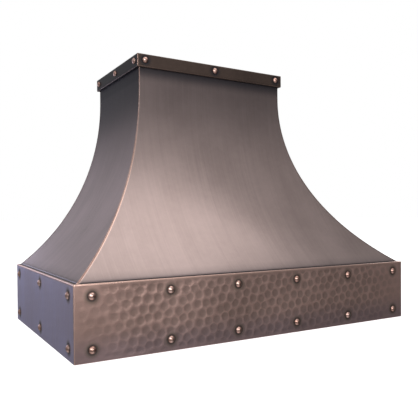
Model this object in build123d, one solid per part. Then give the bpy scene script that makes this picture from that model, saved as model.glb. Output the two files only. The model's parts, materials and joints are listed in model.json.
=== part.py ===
"""Island range hood: a swept copper body between a hammered apron and a riveted crown.

Frame: origin at the middle of the apron's bottom edge, +Z up, front faces -Y, millimetres.
The front and both sides flare down to the apron; the back is one flat finished panel.
Inside hang a steel frame, a stainless liner with filters, lamps and controls, a twin blower
and a damped duct that ends just under the ceiling plate.
"""
from build123d import *
import math
import os

# ---- shell: driving sizes -------------------------------------------------------------
APRON_W = 1219.2            # across the apron, left to right
APRON_D = 724.0             # across the apron, front to back
APRON_H = 203.2             # height of the apron's face
HOOD_H = 914.4              # bottom edge to ceiling
CROWN_W = 597.8             # across the crown, left to right
CROWN_D = 410.6             # across the crown, front to back
CROWN_H = 43.0              # height of the crown's face
TANGENT_Z = 826.6           # where the flare becomes upright
LEDGE = 12.7                # step from the body's foot out to the apron's face
CROWN_LIP = 10.0            # step from the body's top out to the crown's face
SHEET = 1.6                 # copper sheet
APRON_TOP_FOLD = 25.0
APRON_HEM = 20.0

# ---- dome rivets and their burrs -------------------------------------------------------
RIVET_R = 11.0
RIVET_RISE = 7.5
SHANK_R = 2.4
BURR_R = 6.0
BURR_T = 1.2
PEEN = 1.0                  # shank left standing behind the burr
APRON_FRONT_RIVETS = 6
APRON_SIDE_RIVETS = 3
APRON_RIVET_MARGIN = 48.0
APRON_RIVET_ROWS = (33.0, 171.0)
CROWN_RIVETS = 3
CROWN_RIVET_MARGIN = 28.0
CROWN_RIVET_DROP = 20.0     # rivet centre below the crown's top edge

# ---- steel frame -----------------------------------------------------------------------
BAR_T = 3.0
ANGLE_LEG = 30.0
LOWER_RING_Z = 45.0         # underside of the lower ring, which carries the liner
UPPER_RING_W = 60.0
RAIL_H = 40.0
PLATE_T = 5.0               # ceiling plate
PLATE_GAP = 0.2
TAB_W = 36.0
CEILING_BOLT_X = 480.0      # hole to hole
CEILING_BOLT_Y = 220.0
CEILING_BOLT_R = 4.5
CABLE_R = 11.1              # trade-size half-inch knockout
FRAME_BOLT_R = 4.0
FRAME_BOLT_CLEAR = 0.2
HEX_FLAT = 13.0
HEX_H = 5.3
UPRIGHT_GAP = 3.0           # upright to the inside of the body
DUCT_ROOM = 25.0            # clear space round the duct in the ceiling plate's square opening

# ---- liner, filters, lamps, controls -----------------------------------------------------
LINER_T = 1.2
LINER_GAP = 2.0
LINER_BORDER_X = 105.0      # apron face to filter opening, each end
LINER_BORDER_FRONT = 150.0
LINER_BORDER_BACK = 130.0
FILTER_SEAT = 15.0          # width of the ledge the filters rest on
FILTER_COUNT = 3
FILTER_T = 18.0
FILTER_GAP = 1.0
FILTER_RIM = 30.0
FILTER_SKIN = 1.0
BAFFLE_W = 22.0
BAFFLE_PITCH = 30.0         # least pitch; the row fills the frame
BAFFLE_RISE = 6.0
HANDLE_R = 2.5
HANDLE_SPAN = 70.0
HANDLE_DROP = 18.0
PLENUM_TOP = 150.0
LINER_SCREW_R = 2.0
LAMP_R = 31.0
LAMP_RIM_R = 37.0
LAMP_LENS_R = 26.0
LAMP_DEPTH = 25.0
LAMP_INSET_X = 190.0        # lamp centre from the apron's side face
KNOB_R = 14.0
KNOB_H = 16.0
KNOB_GAP = 0.5
KNOB_SPACING = 90.0
KNOB_INSET_Y = 95.0         # knob axis from the apron's front face
KNOB_SHAFT_R = 3.0
KNOB_FIT = 0.05
SWITCH_SIZE = 26.0
CONTROL_PLATE_W = 170.0
CONTROL_PLATE_D = 44.0
CONTROL_PLATE_T = 1.5
TRAY_LAMP_GAP = 82.6        # tray's end to the rims of the lamps
TRAY_W = 46.0
TRAY_H = 14.0
TRAY_LAP = 16.0             # how far the tray reaches under the filters
TRAY_DROP = 2.0             # tray's lip below the liner
TRAY_FLANGE = 8.0
TRAY_FIT = 0.3

# ---- blower ------------------------------------------------------------------------------
CASE_SIDE_GAP = 19.3        # case's end wall to the legs of the uprights
CASE_FRONT = 210.0          # duct axis to the case's front wall
CASE_BACK = 72.0
CASE_H = 300.0
CASE_T = 1.2
CASE_FLANGE = 15.0
CASE_SEAT = 5.0             # ledge of the plenum's top inside the case's walls
AXLE_RISE = 140.0           # blower axis above the plenum's top
AXLE_FORWARD = 86.0         # blower axis in front of the duct axis
SCROLL_MIN_R = 95.0
SCROLL_MAX_R = 140.0
SCROLL_TONGUE = 70.0        # degrees above level where the spiral starts
SCROLL_W = 90.0
SCROLL_INNER_X = 75.0
SCROLL_INLET_R = 65.0
WHEEL_R = 85.0
WHEEL_W = 78.0
WHEEL_BLADES = 24
BLADE_DEPTH = 15.0
BLADE_T = 1.2
MOTOR_R = 60.0
MOTOR_L = 120.0
AXLE_R = 6.0
AXLE_FIT = 0.05

# ---- duct and damper -----------------------------------------------------------------------
DUCT_R = 101.6              # eight-inch duct slips over this
DUCT_T = 0.8
DUCT_STUB = 60.0            # free length above the bead
DUCT_TOP_DROP = 10.0        # duct's end below the crown's top
BEAD_R = 2.5
COLLAR_T = 1.0
COLLAR_H = 80.0
COLLAR_FIT = 0.1
TRANSITION_H = 124.0
TRANSITION_HALF_X = 175.0
TRANSITION_HALF_Y = 64.0
DAMPER_RISE = 26.0          # hinge above the collar's foot
DAMPER_ROD_R = 3.0
DAMPER_FIT = 0.08
FLAP_T = 1.0
FLAP_GAP = 1.0
KNUCKLE_R = 4.5
KNUCKLE_L = 38.0
STOP_IN = 5.0

# ---- wiring box ---------------------------------------------------------------------------
WIRING_HALF_X = 45.0
WIRING_HALF_Y = 35.0
WIRING_DEPTH = 56.0
WIRING_LID_LIP = 1.0
KNOCKOUT_ROOM = 3.0

# ---- derived places -----------------------------------------------------------------------
BODY_BACK = APRON_D / 2 - LEDGE
BODY_TOP_HALF_X = CROWN_W / 2 - CROWN_LIP
BODY_TOP_DEPTH = CROWN_D - 2 * CROWN_LIP
BODY_TOP_FRONT = BODY_TOP_DEPTH - BODY_BACK         # distance in front of the origin
CROWN_Y = BODY_BACK - BODY_TOP_DEPTH / 2            # plan centre of crown and duct
PLATE_Z = HOOD_H - PLATE_T
UPPER_RING_TOP = APRON_H - SHEET
FOOT_RISE = TANGENT_Z - APRON_H
SIDE_SWEEP = APRON_W / 2 - LEDGE - BODY_TOP_HALF_X
FRONT_SWEEP = APRON_D / 2 - LEDGE - BODY_TOP_FRONT
PAN_TOP = LOWER_RING_Z
PAN_BOTTOM = PAN_TOP - LINER_T
OPEN_X = APRON_W / 2 - LINER_BORDER_X
OPEN_FRONT = -APRON_D / 2 + LINER_BORDER_FRONT
OPEN_BACK = APRON_D / 2 - LINER_BORDER_BACK
UPRIGHT_X = BODY_TOP_HALF_X - SHEET - UPRIGHT_GAP
UPRIGHT_FRONT = -BODY_TOP_FRONT + SHEET + UPRIGHT_GAP
UPRIGHT_BACK = APRON_D / 2 - APRON_TOP_FOLD - UPRIGHT_GAP
TRAY_HALF = APRON_W / 2 - LAMP_INSET_X - LAMP_RIM_R - TRAY_LAMP_GAP
CASE_HALF_W = UPRIGHT_X - ANGLE_LEG - CASE_SIDE_GAP
CASE_Z = PLENUM_TOP + LINER_T
CASE_TOP = CASE_Z + CASE_H
AXLE_Y = CROWN_Y - AXLE_FORWARD
AXLE_Z = CASE_Z + AXLE_RISE
COLLAR_Z = CASE_TOP + TRANSITION_H
COLLAR_R = DUCT_R - DUCT_T - COLLAR_FIT
DAMPER_Z = COLLAR_Z + DAMPER_RISE
DUCT_TOP = HOOD_H - DUCT_TOP_DROP
DUCT_BOTTOM = COLLAR_Z + COLLAR_H / 2

QUARTER_TURNS = {"front": 0, "right": 90, "back": 180, "left": 270}


# ---- small helpers ---------------------------------------------------------------------------
def block(x0, x1, y0, y1, z0, z1):
    """A box between two corners."""
    centre = Pos((x0 + x1) / 2, (y0 + y1) / 2, (z0 + z1) / 2)
    return centre * Box(x1 - x0, y1 - y0, z1 - z0)


def frame_block(half_x, y0, y1, z0, z1, wall):
    """A rectangular ring of the given wall, open through Z."""
    inner = block(-half_x + wall, half_x - wall, y0 + wall, y1 - wall, z0 - 1, z1 + 1)
    return block(-half_x, half_x, y0, y1, z0, z1) - inner


def rod(radius, start, direction, length):
    """A cylinder from start along direction."""
    return Solid.make_cylinder(radius, length, Plane(origin=start, z_dir=direction))


def tube(outer, inner, start, direction, length):
    """A round tube from start along direction."""
    return rod(outer, start, direction, length) - rod(inner, start, direction, length)


def hexagon(start, direction, length, flat, bore=0.0):
    """A hexagonal prism, with a hole when it is a nut."""
    plane = Plane(origin=start, z_dir=direction)
    shape = RegularPolygon(flat / 2, 6, major_radius=False)
    solid = extrude(plane * shape, length)
    return solid - rod(bore, start, direction, length) if bore else solid


def save(node, *solids):
    """Write one node, as one solid or as a group of separate solids."""
    shape = solids[0] if len(solids) == 1 else Compound(children=list(solids))
    export_step(shape, f"parts/{node}.step")


# ---- swept body --------------------------------------------------------------------------------
def flare(z, top_half, sweep, inset=0.0):
    """Half-width of the body at height z, measured to a skin this far inside the outer face."""
    radius = (FOOT_RISE ** 2 + sweep ** 2) / (2 * sweep)
    drop = max(TANGENT_Z - z, 0.0)
    return top_half + radius - math.sqrt((radius + inset) ** 2 - drop ** 2)


def flare_edges(top_half, sweep, inset, sign=1):
    """Arc and upright line of one flared edge, from foot to top, as (across, z) curves."""
    middle_z = (APRON_H + TANGENT_Z) / 2
    points = [(sign * flare(z, top_half, sweep, inset), z) for z in (APRON_H, middle_z, TANGENT_Z)]
    arc = ThreePointArc(*points)
    return arc, Line(points[2], (points[2][0], PLATE_Z))


def side_outline(inset):
    """Body outline seen from the front, flared left and right."""
    left = flare_edges(BODY_TOP_HALF_X, SIDE_SWEEP, inset, -1)
    right = flare_edges(BODY_TOP_HALF_X, SIDE_SWEEP, inset)
    ends = [Line(left[0] @ 0, right[0] @ 0), Line(left[1] @ 1, right[1] @ 1)]
    return make_face([*left, *right, *ends])


def front_outline(inset, back_y):
    """Body outline seen from the side, flared at the front and flat at the back."""
    front = flare_edges(BODY_TOP_FRONT, FRONT_SWEEP, inset, -1)
    foot, top = front[0] @ 0, front[1] @ 1
    ends = Polyline((foot.X, foot.Y), (back_y, APRON_H), (back_y, PLATE_Z), (top.X, top.Y))
    return make_face([*front, ends])


def along_y(face, y0, y1):
    """Extrude an (x, z) face from y0 to y1."""
    return extrude(Plane(origin=(0, y1, 0), x_dir=(1, 0, 0), z_dir=(0, -1, 0)) * face, y1 - y0)


def along_x(face, x0, x1):
    """Extrude a (y, z) face from x0 to x1."""
    return extrude(Plane(origin=(x0, 0, 0), x_dir=(0, 1, 0), z_dir=(1, 0, 0)) * face, x1 - x0)


def body_panels():
    """Front over the side edges, sides up to the back panel, one flat back."""
    half_w, half_d = APRON_W / 2, APRON_D / 2
    outer = along_y(side_outline(0), -half_d, half_d)
    inner = along_y(side_outline(SHEET), -half_d, half_d)
    inside_back = BODY_BACK - SHEET
    front_wrap = along_x(front_outline(0, inside_back), -half_w, half_w)
    front_inside = along_x(front_outline(SHEET, inside_back), -half_w, half_w)
    save("body_front_panel", (front_wrap - front_inside) & outer)
    sides = (outer - inner) & front_inside
    for name, sign in (("left", -1), ("right", 1)):
        half = block(min(0, sign * half_w), max(0, sign * half_w), -half_d, half_d, 0, HOOD_H)
        save(f"body_{name}_panel", sides & half)
    save("body_back_panel", along_y(side_outline(0), inside_back, BODY_BACK))


# ---- apron, crown and rivets --------------------------------------------------------------------
def band_panel(width, depth, z0, z1, folds):
    """Front panel of a rectangular band; folds are {height of fold's underside: its width}."""
    face_y = -depth / 2
    panel = block(-width / 2, width / 2, face_y, face_y + SHEET, z0, z1)
    for fold_z, fold_w in folds.items():
        panel += block(-width / 2, width / 2, face_y, face_y + fold_w, fold_z, fold_z + SHEET)
    run = max(folds.values()) + SHEET
    corners = [(-width / 2, face_y), (width / 2, face_y),
               (width / 2 - run, face_y + run), (-width / 2 + run, face_y + run)]
    mitre = extrude(Plane.XY.offset(z0) * make_face(Polyline(*corners, close=True)), z1 - z0)
    return panel & mitre


def spread(span, margin, count):
    """Evenly spaced places along a span, centred on zero."""
    pitch = (span - 2 * margin) / (count - 1)
    return [-span / 2 + margin + pitch * i for i in range(count)]


def apron_places(side):
    """(x, z) of each rivet on one apron panel, in that panel's own view."""
    wide = side in ("front", "back")
    span, count = (APRON_W, APRON_FRONT_RIVETS) if wide else (APRON_D, APRON_SIDE_RIVETS)
    return [(x, z) for z in APRON_RIVET_ROWS for x in spread(span, APRON_RIVET_MARGIN, count)]


def crown_places(side):
    """(x, z) of each rivet on one crown panel, in that panel's own view."""
    span = CROWN_W if side in ("front", "back") else CROWN_D
    z = HOOD_H - CROWN_RIVET_DROP
    return [(x, z) for x in spread(span, CROWN_RIVET_MARGIN, CROWN_RIVETS)]


def dome_rivet():
    """Round head at y < 0, shank through the sheet and the burr towards +Y."""
    ball = (RIVET_R ** 2 + RIVET_RISE ** 2) / (2 * RIVET_RISE)
    half = math.asin(RIVET_R / ball) / 2
    shoulder = (ball * math.sin(half), ball * (1 - math.cos(half)) - RIVET_RISE)
    length = SHEET + BURR_T + PEEN
    head = ThreePointArc((0, -RIVET_RISE), shoulder, (RIVET_R, 0))
    rest = Polyline((RIVET_R, 0), (SHANK_R, 0), (SHANK_R, length), (0, length), (0, -RIVET_RISE))
    return revolve(make_face([head, rest]), Axis.Y, 360)


def banded(prefix, width, depth, centre_y, z0, z1, folds, places):
    """Write the four mitred panels of a band and return its rivets and burrs."""
    rivets, burrs = [], []
    rivet = dome_rivet()
    burr = tube(BURR_R, SHANK_R, (0, SHEET, 0), (0, 1, 0), BURR_T)
    for side, turn in QUARTER_TURNS.items():
        wide = side in ("front", "back")
        span, across = (width, depth) if wide else (depth, width)
        spots = [Pos(x, -across / 2, z) for x, z in places(side)]
        hole = rod(SHANK_R, (0, -SHEET, 0), (0, 1, 0), 3 * SHEET)
        panel = band_panel(span, across, z0, z1, folds) - [spot * hole for spot in spots]
        turned = Pos(0, centre_y, 0) * Rot(0, 0, turn)
        save(f"{prefix}_{side}", turned * panel)
        rivets += [turned * spot * rivet for spot in spots]
        burrs += [turned * spot * burr for spot in spots]
    return rivets, burrs


def apron_and_crown():
    """Hammered apron and plain crown, each four mitred panels, with their rivets."""
    apron_folds = {APRON_H - SHEET: APRON_TOP_FOLD, 0.0: APRON_HEM}
    crown_foot = HOOD_H - CROWN_H
    apron_rivets, apron_burrs = banded(
        "apron", APRON_W, APRON_D, 0.0, 0.0, APRON_H, apron_folds, apron_places)
    crown_rivets, crown_burrs = banded(
        "crown", CROWN_W, CROWN_D, CROWN_Y, crown_foot, HOOD_H, {crown_foot: CROWN_LIP}, crown_places)
    save("apron_rivets", *apron_rivets)
    save("crown_rivets", *crown_rivets)
    save("rivet_burrs", *apron_burrs, *crown_burrs)


# ---- steel frame -----------------------------------------------------------------------------------
def frame_joints():
    """(side, y, z) of each bolt that ties an upright to a rail or a ceiling tab."""
    heights = (UPPER_RING_TOP + BAR_T + RAIL_H / 2, PLATE_Z - TAB_W / 2)
    depths = (UPRIGHT_FRONT + ANGLE_LEG * 0.6, UPRIGHT_BACK - ANGLE_LEG * 0.6)
    return [(side, y, z) for side in (-1, 1) for y in depths for z in heights]


def frame_bolt_holes():
    """Clearance holes for every frame bolt."""
    reach = 4 * BAR_T
    return [rod(FRAME_BOLT_R + FRAME_BOLT_CLEAR, (side * UPRIGHT_X - reach, y, z), (1, 0, 0), 2 * reach)
            for side, y, z in frame_joints()]


def liner_screw_places():
    """Liner screws along the middle of the lower ring's flat leg."""
    half_x = APRON_W / 2 - SHEET - ANGLE_LEG / 2 - BAR_T
    half_y = APRON_D / 2 - SHEET - ANGLE_LEG / 2 - BAR_T
    along = [(x, s * half_y) for x in spread(APRON_W, 120, 5) for s in (-1, 1)]
    return along + [(s * half_x, y) for y in spread(APRON_D, 200, 2) for s in (-1, 1)]


def rings_and_posts():
    """Welded rings that stiffen the apron, and the four corner posts between them."""
    half_x, half_y = APRON_W / 2 - SHEET, APRON_D / 2 - SHEET
    ring_top = LOWER_RING_Z + ANGLE_LEG
    lower = frame_block(half_x, -half_y, half_y, LOWER_RING_Z, ring_top, BAR_T)
    lower += frame_block(half_x, -half_y, half_y, LOWER_RING_Z, LOWER_RING_Z + BAR_T, ANGLE_LEG)
    holes = [rod(LINER_SCREW_R, (x, y, 0), (0, 0, 1), 2 * LOWER_RING_Z) for x, y in liner_screw_places()]
    save("lower_ring", lower - holes)
    upper_z = UPPER_RING_TOP - BAR_T
    save("upper_ring", frame_block(half_x, -half_y, half_y, upper_z, UPPER_RING_TOP, UPPER_RING_W))
    posts = []
    for sx in (-1, 1):
        for sy in (-1, 1):
            x, y = sx * (half_x - BAR_T), sy * (half_y - BAR_T)
            spans = [(x - sx * ANGLE_LEG, y - sy * BAR_T), (x - sx * BAR_T, y - sy * ANGLE_LEG)]
            legs = [block(min(x, far_x), max(x, far_x), min(y, far_y), max(y, far_y),
                          LOWER_RING_Z + BAR_T, upper_z) for far_x, far_y in spans]
            posts.append(legs[0] + legs[1])
    save("corner_posts", *posts)


def rails_and_uprights():
    """Two rails across the upper ring and four uprights that hang from the ceiling plate."""
    foot = UPPER_RING_TOP
    rail_top = foot + BAR_T + RAIL_H
    clear = 4 * UPRIGHT_GAP
    web_front = -(flare(rail_top, BODY_TOP_FRONT, FRONT_SWEEP, SHEET) - clear)
    flange_front = -(APRON_D / 2 - APRON_TOP_FOLD - clear)
    rails, uprights = [], []
    holes = frame_bolt_holes()
    for side in (-1, 1):
        web = sorted((side * (UPRIGHT_X - 2 * BAR_T), side * (UPRIGHT_X - BAR_T)))
        flange = sorted((side * (UPRIGHT_X - BAR_T), side * (UPRIGHT_X - BAR_T + ANGLE_LEG)))
        rail = block(*web, web_front, UPRIGHT_BACK, foot, rail_top)
        rail += block(*web, flange_front, web_front, foot, foot + BAR_T)
        rail += block(*flange, flange_front, UPRIGHT_BACK, foot, foot + BAR_T)
        rails.append(rail - holes)
        skin = sorted((side * (UPRIGHT_X - BAR_T), side * UPRIGHT_X))
        wing = sorted((side * (UPRIGHT_X - ANGLE_LEG), side * UPRIGHT_X))
        for y, inward in ((UPRIGHT_FRONT, 1), (UPRIGHT_BACK, -1)):
            leg = sorted((y, y + inward * ANGLE_LEG))
            lap = sorted((y, y + inward * BAR_T))
            upright = block(*skin, *leg, foot + BAR_T, PLATE_Z)
            upright += block(*wing, *lap, rail_top + BAR_T, PLATE_Z - TAB_W - BAR_T)
            uprights.append(upright - holes)
    save("cross_rails", *rails)
    save("uprights", *uprights)


def ceiling_plate():
    """Steel plate inside the crown: bolt holes, duct opening, cable knockout and bolting tabs."""
    half_x = CROWN_W / 2 - SHEET - PLATE_GAP
    half_y = CROWN_D / 2 - SHEET - PLATE_GAP
    plate = block(-half_x, half_x, CROWN_Y - half_y, CROWN_Y + half_y, PLATE_Z, HOOD_H)
    for side in (-1, 1):
        web = sorted((side * (UPRIGHT_X - 2 * BAR_T), side * (UPRIGHT_X - BAR_T)))
        for y, inward in ((UPRIGHT_FRONT, 1), (UPRIGHT_BACK, -1)):
            leg = sorted((y, y + inward * ANGLE_LEG))
            plate += block(*web, *leg, PLATE_Z - TAB_W, PLATE_Z)
    opening = DUCT_R + DUCT_ROOM
    cuts = [block(-opening, opening, CROWN_Y - opening, CROWN_Y + opening, PLATE_Z, HOOD_H)]
    cuts += [rod(CEILING_BOLT_R, (sx * CEILING_BOLT_X / 2, CROWN_Y + sy * CEILING_BOLT_Y / 2, PLATE_Z),
                 (0, 0, 1), PLATE_T) for sx in (-1, 1) for sy in (-1, 1)]
    cable_x, cable_y = cable_place()
    cuts.append(rod(CABLE_R, (cable_x, cable_y, PLATE_Z), (0, 0, 1), PLATE_T))
    save("ceiling_plate", plate - cuts - frame_bolt_holes())


def frame_fasteners():
    """Hexagon bolts from outside each upright, with a nut behind the rail or tab."""
    bolts, nuts = [], []
    for side, y, z in frame_joints():
        outer = (side * UPRIGHT_X, y, z)
        inner = (side * (UPRIGHT_X - 2 * BAR_T), y, z)
        shank = rod(FRAME_BOLT_R, outer, (-side, 0, 0), 2 * BAR_T + HEX_H + PEEN)
        bolts.append(hexagon(outer, (side, 0, 0), UPRIGHT_GAP * 0.8, HEX_FLAT) + shank)
        nuts.append(hexagon(inner, (-side, 0, 0), HEX_H, HEX_FLAT, FRAME_BOLT_R))
    save("frame_bolts", *bolts)
    save("frame_nuts", *nuts)


# ---- liner -----------------------------------------------------------------------------------------
def lamp_places():
    """Plan places of the four lamps, midway between the plenum's wall and the lower ring."""
    x = APRON_W / 2 - LAMP_INSET_X
    ring = APRON_D / 2 - SHEET - ANGLE_LEG
    front = (OPEN_FRONT - FILTER_SEAT - LINER_T - ring) / 2
    back = (OPEN_BACK + FILTER_SEAT + LINER_T + ring) / 2
    return [(sx * x, y) for sx in (-1, 1) for y in (front, back)]


def knob_places():
    """Plan places of the two knobs, fan first."""
    y = -APRON_D / 2 + KNOB_INSET_Y
    return [(-KNOB_SPACING / 2, y), (KNOB_SPACING / 2, y)]


def liner():
    """Flat stainless pan under the lower ring, and the plenum box welded on top of it."""
    half_x, half_y = APRON_W / 2 - SHEET - LINER_GAP, APRON_D / 2 - SHEET - LINER_GAP
    pan = block(-half_x, half_x, -half_y, half_y, PAN_BOTTOM, PAN_TOP)
    pan -= block(-OPEN_X, OPEN_X, OPEN_FRONT, OPEN_BACK, PAN_BOTTOM - 1, PAN_TOP + 1)
    up = (0, 0, 1)
    cuts = [rod(LAMP_R, (x, y, PAN_BOTTOM - 1), up, 2 + LINER_T) for x, y in lamp_places()]
    cuts += [rod(KNOB_SHAFT_R * 2, (x, y, PAN_BOTTOM - 1), up, 2 + LINER_T) for x, y in knob_places()]
    cuts += [rod(LINER_SCREW_R, (x, y, PAN_BOTTOM - 1), up, 2 + LINER_T) for x, y in liner_screw_places()]
    save("liner_pan", pan - cuts)
    wall_x = OPEN_X + FILTER_SEAT + LINER_T
    y0, y1 = OPEN_FRONT - FILTER_SEAT - LINER_T, OPEN_BACK + FILTER_SEAT + LINER_T
    box = frame_block(wall_x, y0, y1, PAN_TOP, PLENUM_TOP, LINER_T)
    box += block(-wall_x, wall_x, y0, y1, PLENUM_TOP, PLENUM_TOP + LINER_T)
    seat = CASE_T + CASE_SEAT
    inner = CASE_HALF_W - seat
    box -= block(-inner, inner, CROWN_Y - CASE_FRONT + seat, CROWN_Y + CASE_BACK - seat,
                 PLENUM_TOP - 1, PLENUM_TOP + LINER_T + 1)
    save("plenum_box", box)
    screw_len = LINER_T + BAR_T + PEEN
    save("liner_screws", *[rod(LINER_SCREW_R, (x, y, PAN_BOTTOM), up, screw_len)
                           + rod(2 * LINER_SCREW_R, (x, y, PAN_BOTTOM - 2), up, 2)
                           for x, y in liner_screw_places()])


def baffle(x, y0, y1, z, opens_up):
    """One U-shaped baffle channel running front to back."""
    body = block(x - BAFFLE_W / 2, x + BAFFLE_W / 2, y0, y1, z, z + BAFFLE_RISE)
    shift = FILTER_SKIN if opens_up else -FILTER_SKIN
    half = BAFFLE_W / 2 - FILTER_SKIN
    return body - block(x - half, x + half, y0, y1, z + shift, z + BAFFLE_RISE + shift)


def filters():
    """Baffle filters side by side on the pan's ledge, each with a bail handle underneath."""
    bay = 2 * (OPEN_X + FILTER_SEAT) / FILTER_COUNT
    y0, y1 = OPEN_FRONT - FILTER_SEAT + FILTER_GAP, OPEN_BACK + FILTER_SEAT - FILTER_GAP
    z0 = PAN_TOP
    inside = bay - FILTER_GAP - 2 * FILTER_RIM
    count = int(inside // BAFFLE_PITCH)
    pitch = inside / count
    for i, name in enumerate(("left", "middle", "right")):
        centre = bay * (i - (FILTER_COUNT - 1) / 2)
        place = Pos(centre, 0, 0)
        half = bay / 2 - FILTER_GAP / 2
        rim = frame_block(half, y0, y1, z0, z0 + FILTER_T, FILTER_RIM)
        groove = frame_block(half - FILTER_SKIN, y0 + FILTER_SKIN, y1 - FILTER_SKIN,
                             z0 + FILTER_SKIN, z0 + FILTER_T - FILTER_SKIN, FILTER_RIM)
        save(f"filter_{name}_frame", place * (rim - groove))
        low = [(x, True, z0 + FILTER_SKIN) for x in spread(inside, pitch / 2, count)]
        high = [(x, False, z0 + FILTER_T - FILTER_SKIN - BAFFLE_RISE)
                for x in spread(inside, pitch, count - 1)]
        ends = (y0 + FILTER_RIM - 2 * FILTER_SKIN, y1 - FILTER_RIM + 2 * FILTER_SKIN)
        channels = [baffle(x, *ends, z, up) for x, up, z in low + high]
        save(f"filter_{name}_baffles", *[place * channel for channel in channels])
        bail_y = y0 + (FILTER_SEAT + FILTER_RIM) / 2
        path = FilletPolyline((-HANDLE_SPAN / 2, bail_y, z0), (-HANDLE_SPAN / 2, bail_y, z0 - HANDLE_DROP),
                              (HANDLE_SPAN / 2, bail_y, z0 - HANDLE_DROP), (HANDLE_SPAN / 2, bail_y, z0),
                              radius=3 * HANDLE_R)
        ring = Plane(origin=path @ 0, z_dir=path % 0) * Circle(HANDLE_R)
        save(f"filter_{name}_handle", place * sweep(ring, path=path))


def grease_tray():
    """Drip tray under the filters' back edge, hung by its end flanges in two runners."""
    y0 = OPEN_BACK - TRAY_LAP
    y1 = y0 + TRAY_W
    half = TRAY_HALF
    top = PAN_BOTTOM - TRAY_DROP
    tray = block(-half, half, y0, y1, top - TRAY_H, top)
    tray -= block(-half + LINER_T, half - LINER_T, y0 + LINER_T, y1 - LINER_T, top - TRAY_H + LINER_T, top)
    for side in (-1, 1):
        flange = sorted((side * half, side * (half + TRAY_FLANGE)))
        tray += block(*flange, y0, y1, top - LINER_T, top)
    save("grease_tray", tray)
    runners = []
    wall = half + TRAY_FLANGE + TRAY_FIT
    lip_z = top - LINER_T - TRAY_FIT
    runner_y = (OPEN_BACK + FILTER_GAP, y1 + 4 * TRAY_FIT + LINER_T)
    for side in (-1, 1):
        web = sorted((side * wall, side * (wall + LINER_T)))
        lip = sorted((side * (half + TRAY_FIT), side * (wall + LINER_T)))
        runner = block(*web, *runner_y, lip_z - LINER_T, PAN_BOTTOM)
        runner += block(*lip, *runner_y, lip_z - LINER_T, lip_z)
        runner += block(*lip, runner_y[1] - LINER_T, runner_y[1], lip_z, PAN_BOTTOM)
        runners.append(runner)
    save("tray_runners", *runners)


def lamps():
    """Four recessed lamps: a can with a rim under the pan, and a lens in the rim."""
    cans, lenses = [], []
    rim_t = CONTROL_PLATE_T
    up = (0, 0, 1)
    for x, y in lamp_places():
        rim_z = PAN_BOTTOM - rim_t
        can = rod(LAMP_RIM_R, (x, y, rim_z), up, rim_t)
        can += rod(LAMP_R, (x, y, PAN_BOTTOM), up, LAMP_DEPTH)
        can -= rod(LAMP_LENS_R, (x, y, rim_z), up, rim_t + LAMP_DEPTH - LINER_T)
        cans.append(can)
        lenses.append(rod(LAMP_LENS_R, (x, y, rim_z), up, 2 * rim_t))
    save("lamp_cans", *cans)
    save("lamp_lenses", *lenses)


def controls():
    """Control plate under the pan, two knobs on their shafts, two switches above."""
    plate_z = PAN_BOTTOM - CONTROL_PLATE_T
    y = knob_places()[0][1]
    plate = block(-CONTROL_PLATE_W / 2, CONTROL_PLATE_W / 2, y - CONTROL_PLATE_D / 2,
                  y + CONTROL_PLATE_D / 2, plate_z, PAN_BOTTOM)
    up = (0, 0, 1)
    bore = KNOB_SHAFT_R + KNOB_FIT
    switches = []
    for name, (kx, ky) in zip(("fan", "light"), knob_places()):
        plate -= rod(bore, (kx, ky, plate_z), up, CONTROL_PLATE_T)
        top = plate_z - KNOB_GAP
        knob = rod(KNOB_R, (kx, ky, top - KNOB_H), up, KNOB_H)
        knob = chamfer(knob.edges().group_by(Axis.Z)[0], 1.5)
        flutes = [rod(1.5, (kx + KNOB_R * math.cos(a), ky + KNOB_R * math.sin(a), top - KNOB_H), up, KNOB_H)
                  for a in (math.radians(30 * i) for i in range(12))]
        knob = knob - flutes
        pointer = block(kx - 1, kx + 1, ky, ky + KNOB_R - 3, top - KNOB_H - 1.5, top - KNOB_H)
        shaft_top = PAN_TOP + SWITCH_SIZE * 0.6
        shaft = rod(KNOB_SHAFT_R, (kx, ky, top), up, shaft_top - top)
        save(f"{name}_knob", knob + pointer + shaft)
        half = SWITCH_SIZE / 2
        case = block(kx - half, kx + half, ky - half, ky + half, PAN_TOP, PAN_TOP + SWITCH_SIZE)
        switches.append(case - rod(bore, (kx, ky, PAN_TOP), up, SWITCH_SIZE * 0.6 + PEEN))
    save("control_plate", plate)
    save("control_switches", *switches)


# ---- blower ------------------------------------------------------------------------------------------
def scroll_face(extra):
    """Spiral housing outline about the blower axis, as (y, z), grown by a wall when asked."""
    sweep_angle = 360 - SCROLL_TONGUE
    points = []
    steps = 10
    for i in range(steps + 1):
        angle = math.radians(SCROLL_TONGUE + sweep_angle * i / steps)
        radius = SCROLL_MIN_R + (SCROLL_MAX_R - SCROLL_MIN_R) * i / steps + extra
        points.append((AXLE_Y + radius * math.cos(angle), AXLE_Z + radius * math.sin(angle)))
    tongue_y = points[0][0] - extra
    ends = Polyline(points[-1], (points[-1][0], CASE_TOP - CASE_T), (tongue_y, CASE_TOP - CASE_T), points[0])
    return make_face([Spline(*points), ends])


def scrolls():
    """Two spiral housings, each with a round inlet in both cheeks and its outlet on top."""
    for name, side in (("left", -1), ("right", 1)):
        near, far = SCROLL_INNER_X, SCROLL_INNER_X + SCROLL_W
        x0, x1 = sorted((side * near, side * far))
        shell = along_x(scroll_face(CASE_T), x0, x1)
        shell -= along_x(scroll_face(0), x0 + CASE_T, x1 - CASE_T)
        shell -= rod(SCROLL_INLET_R, (x0 - 1, AXLE_Y, AXLE_Z), (1, 0, 0), SCROLL_W + 2)
        save(f"blower_scroll_{name}", shell)


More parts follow.
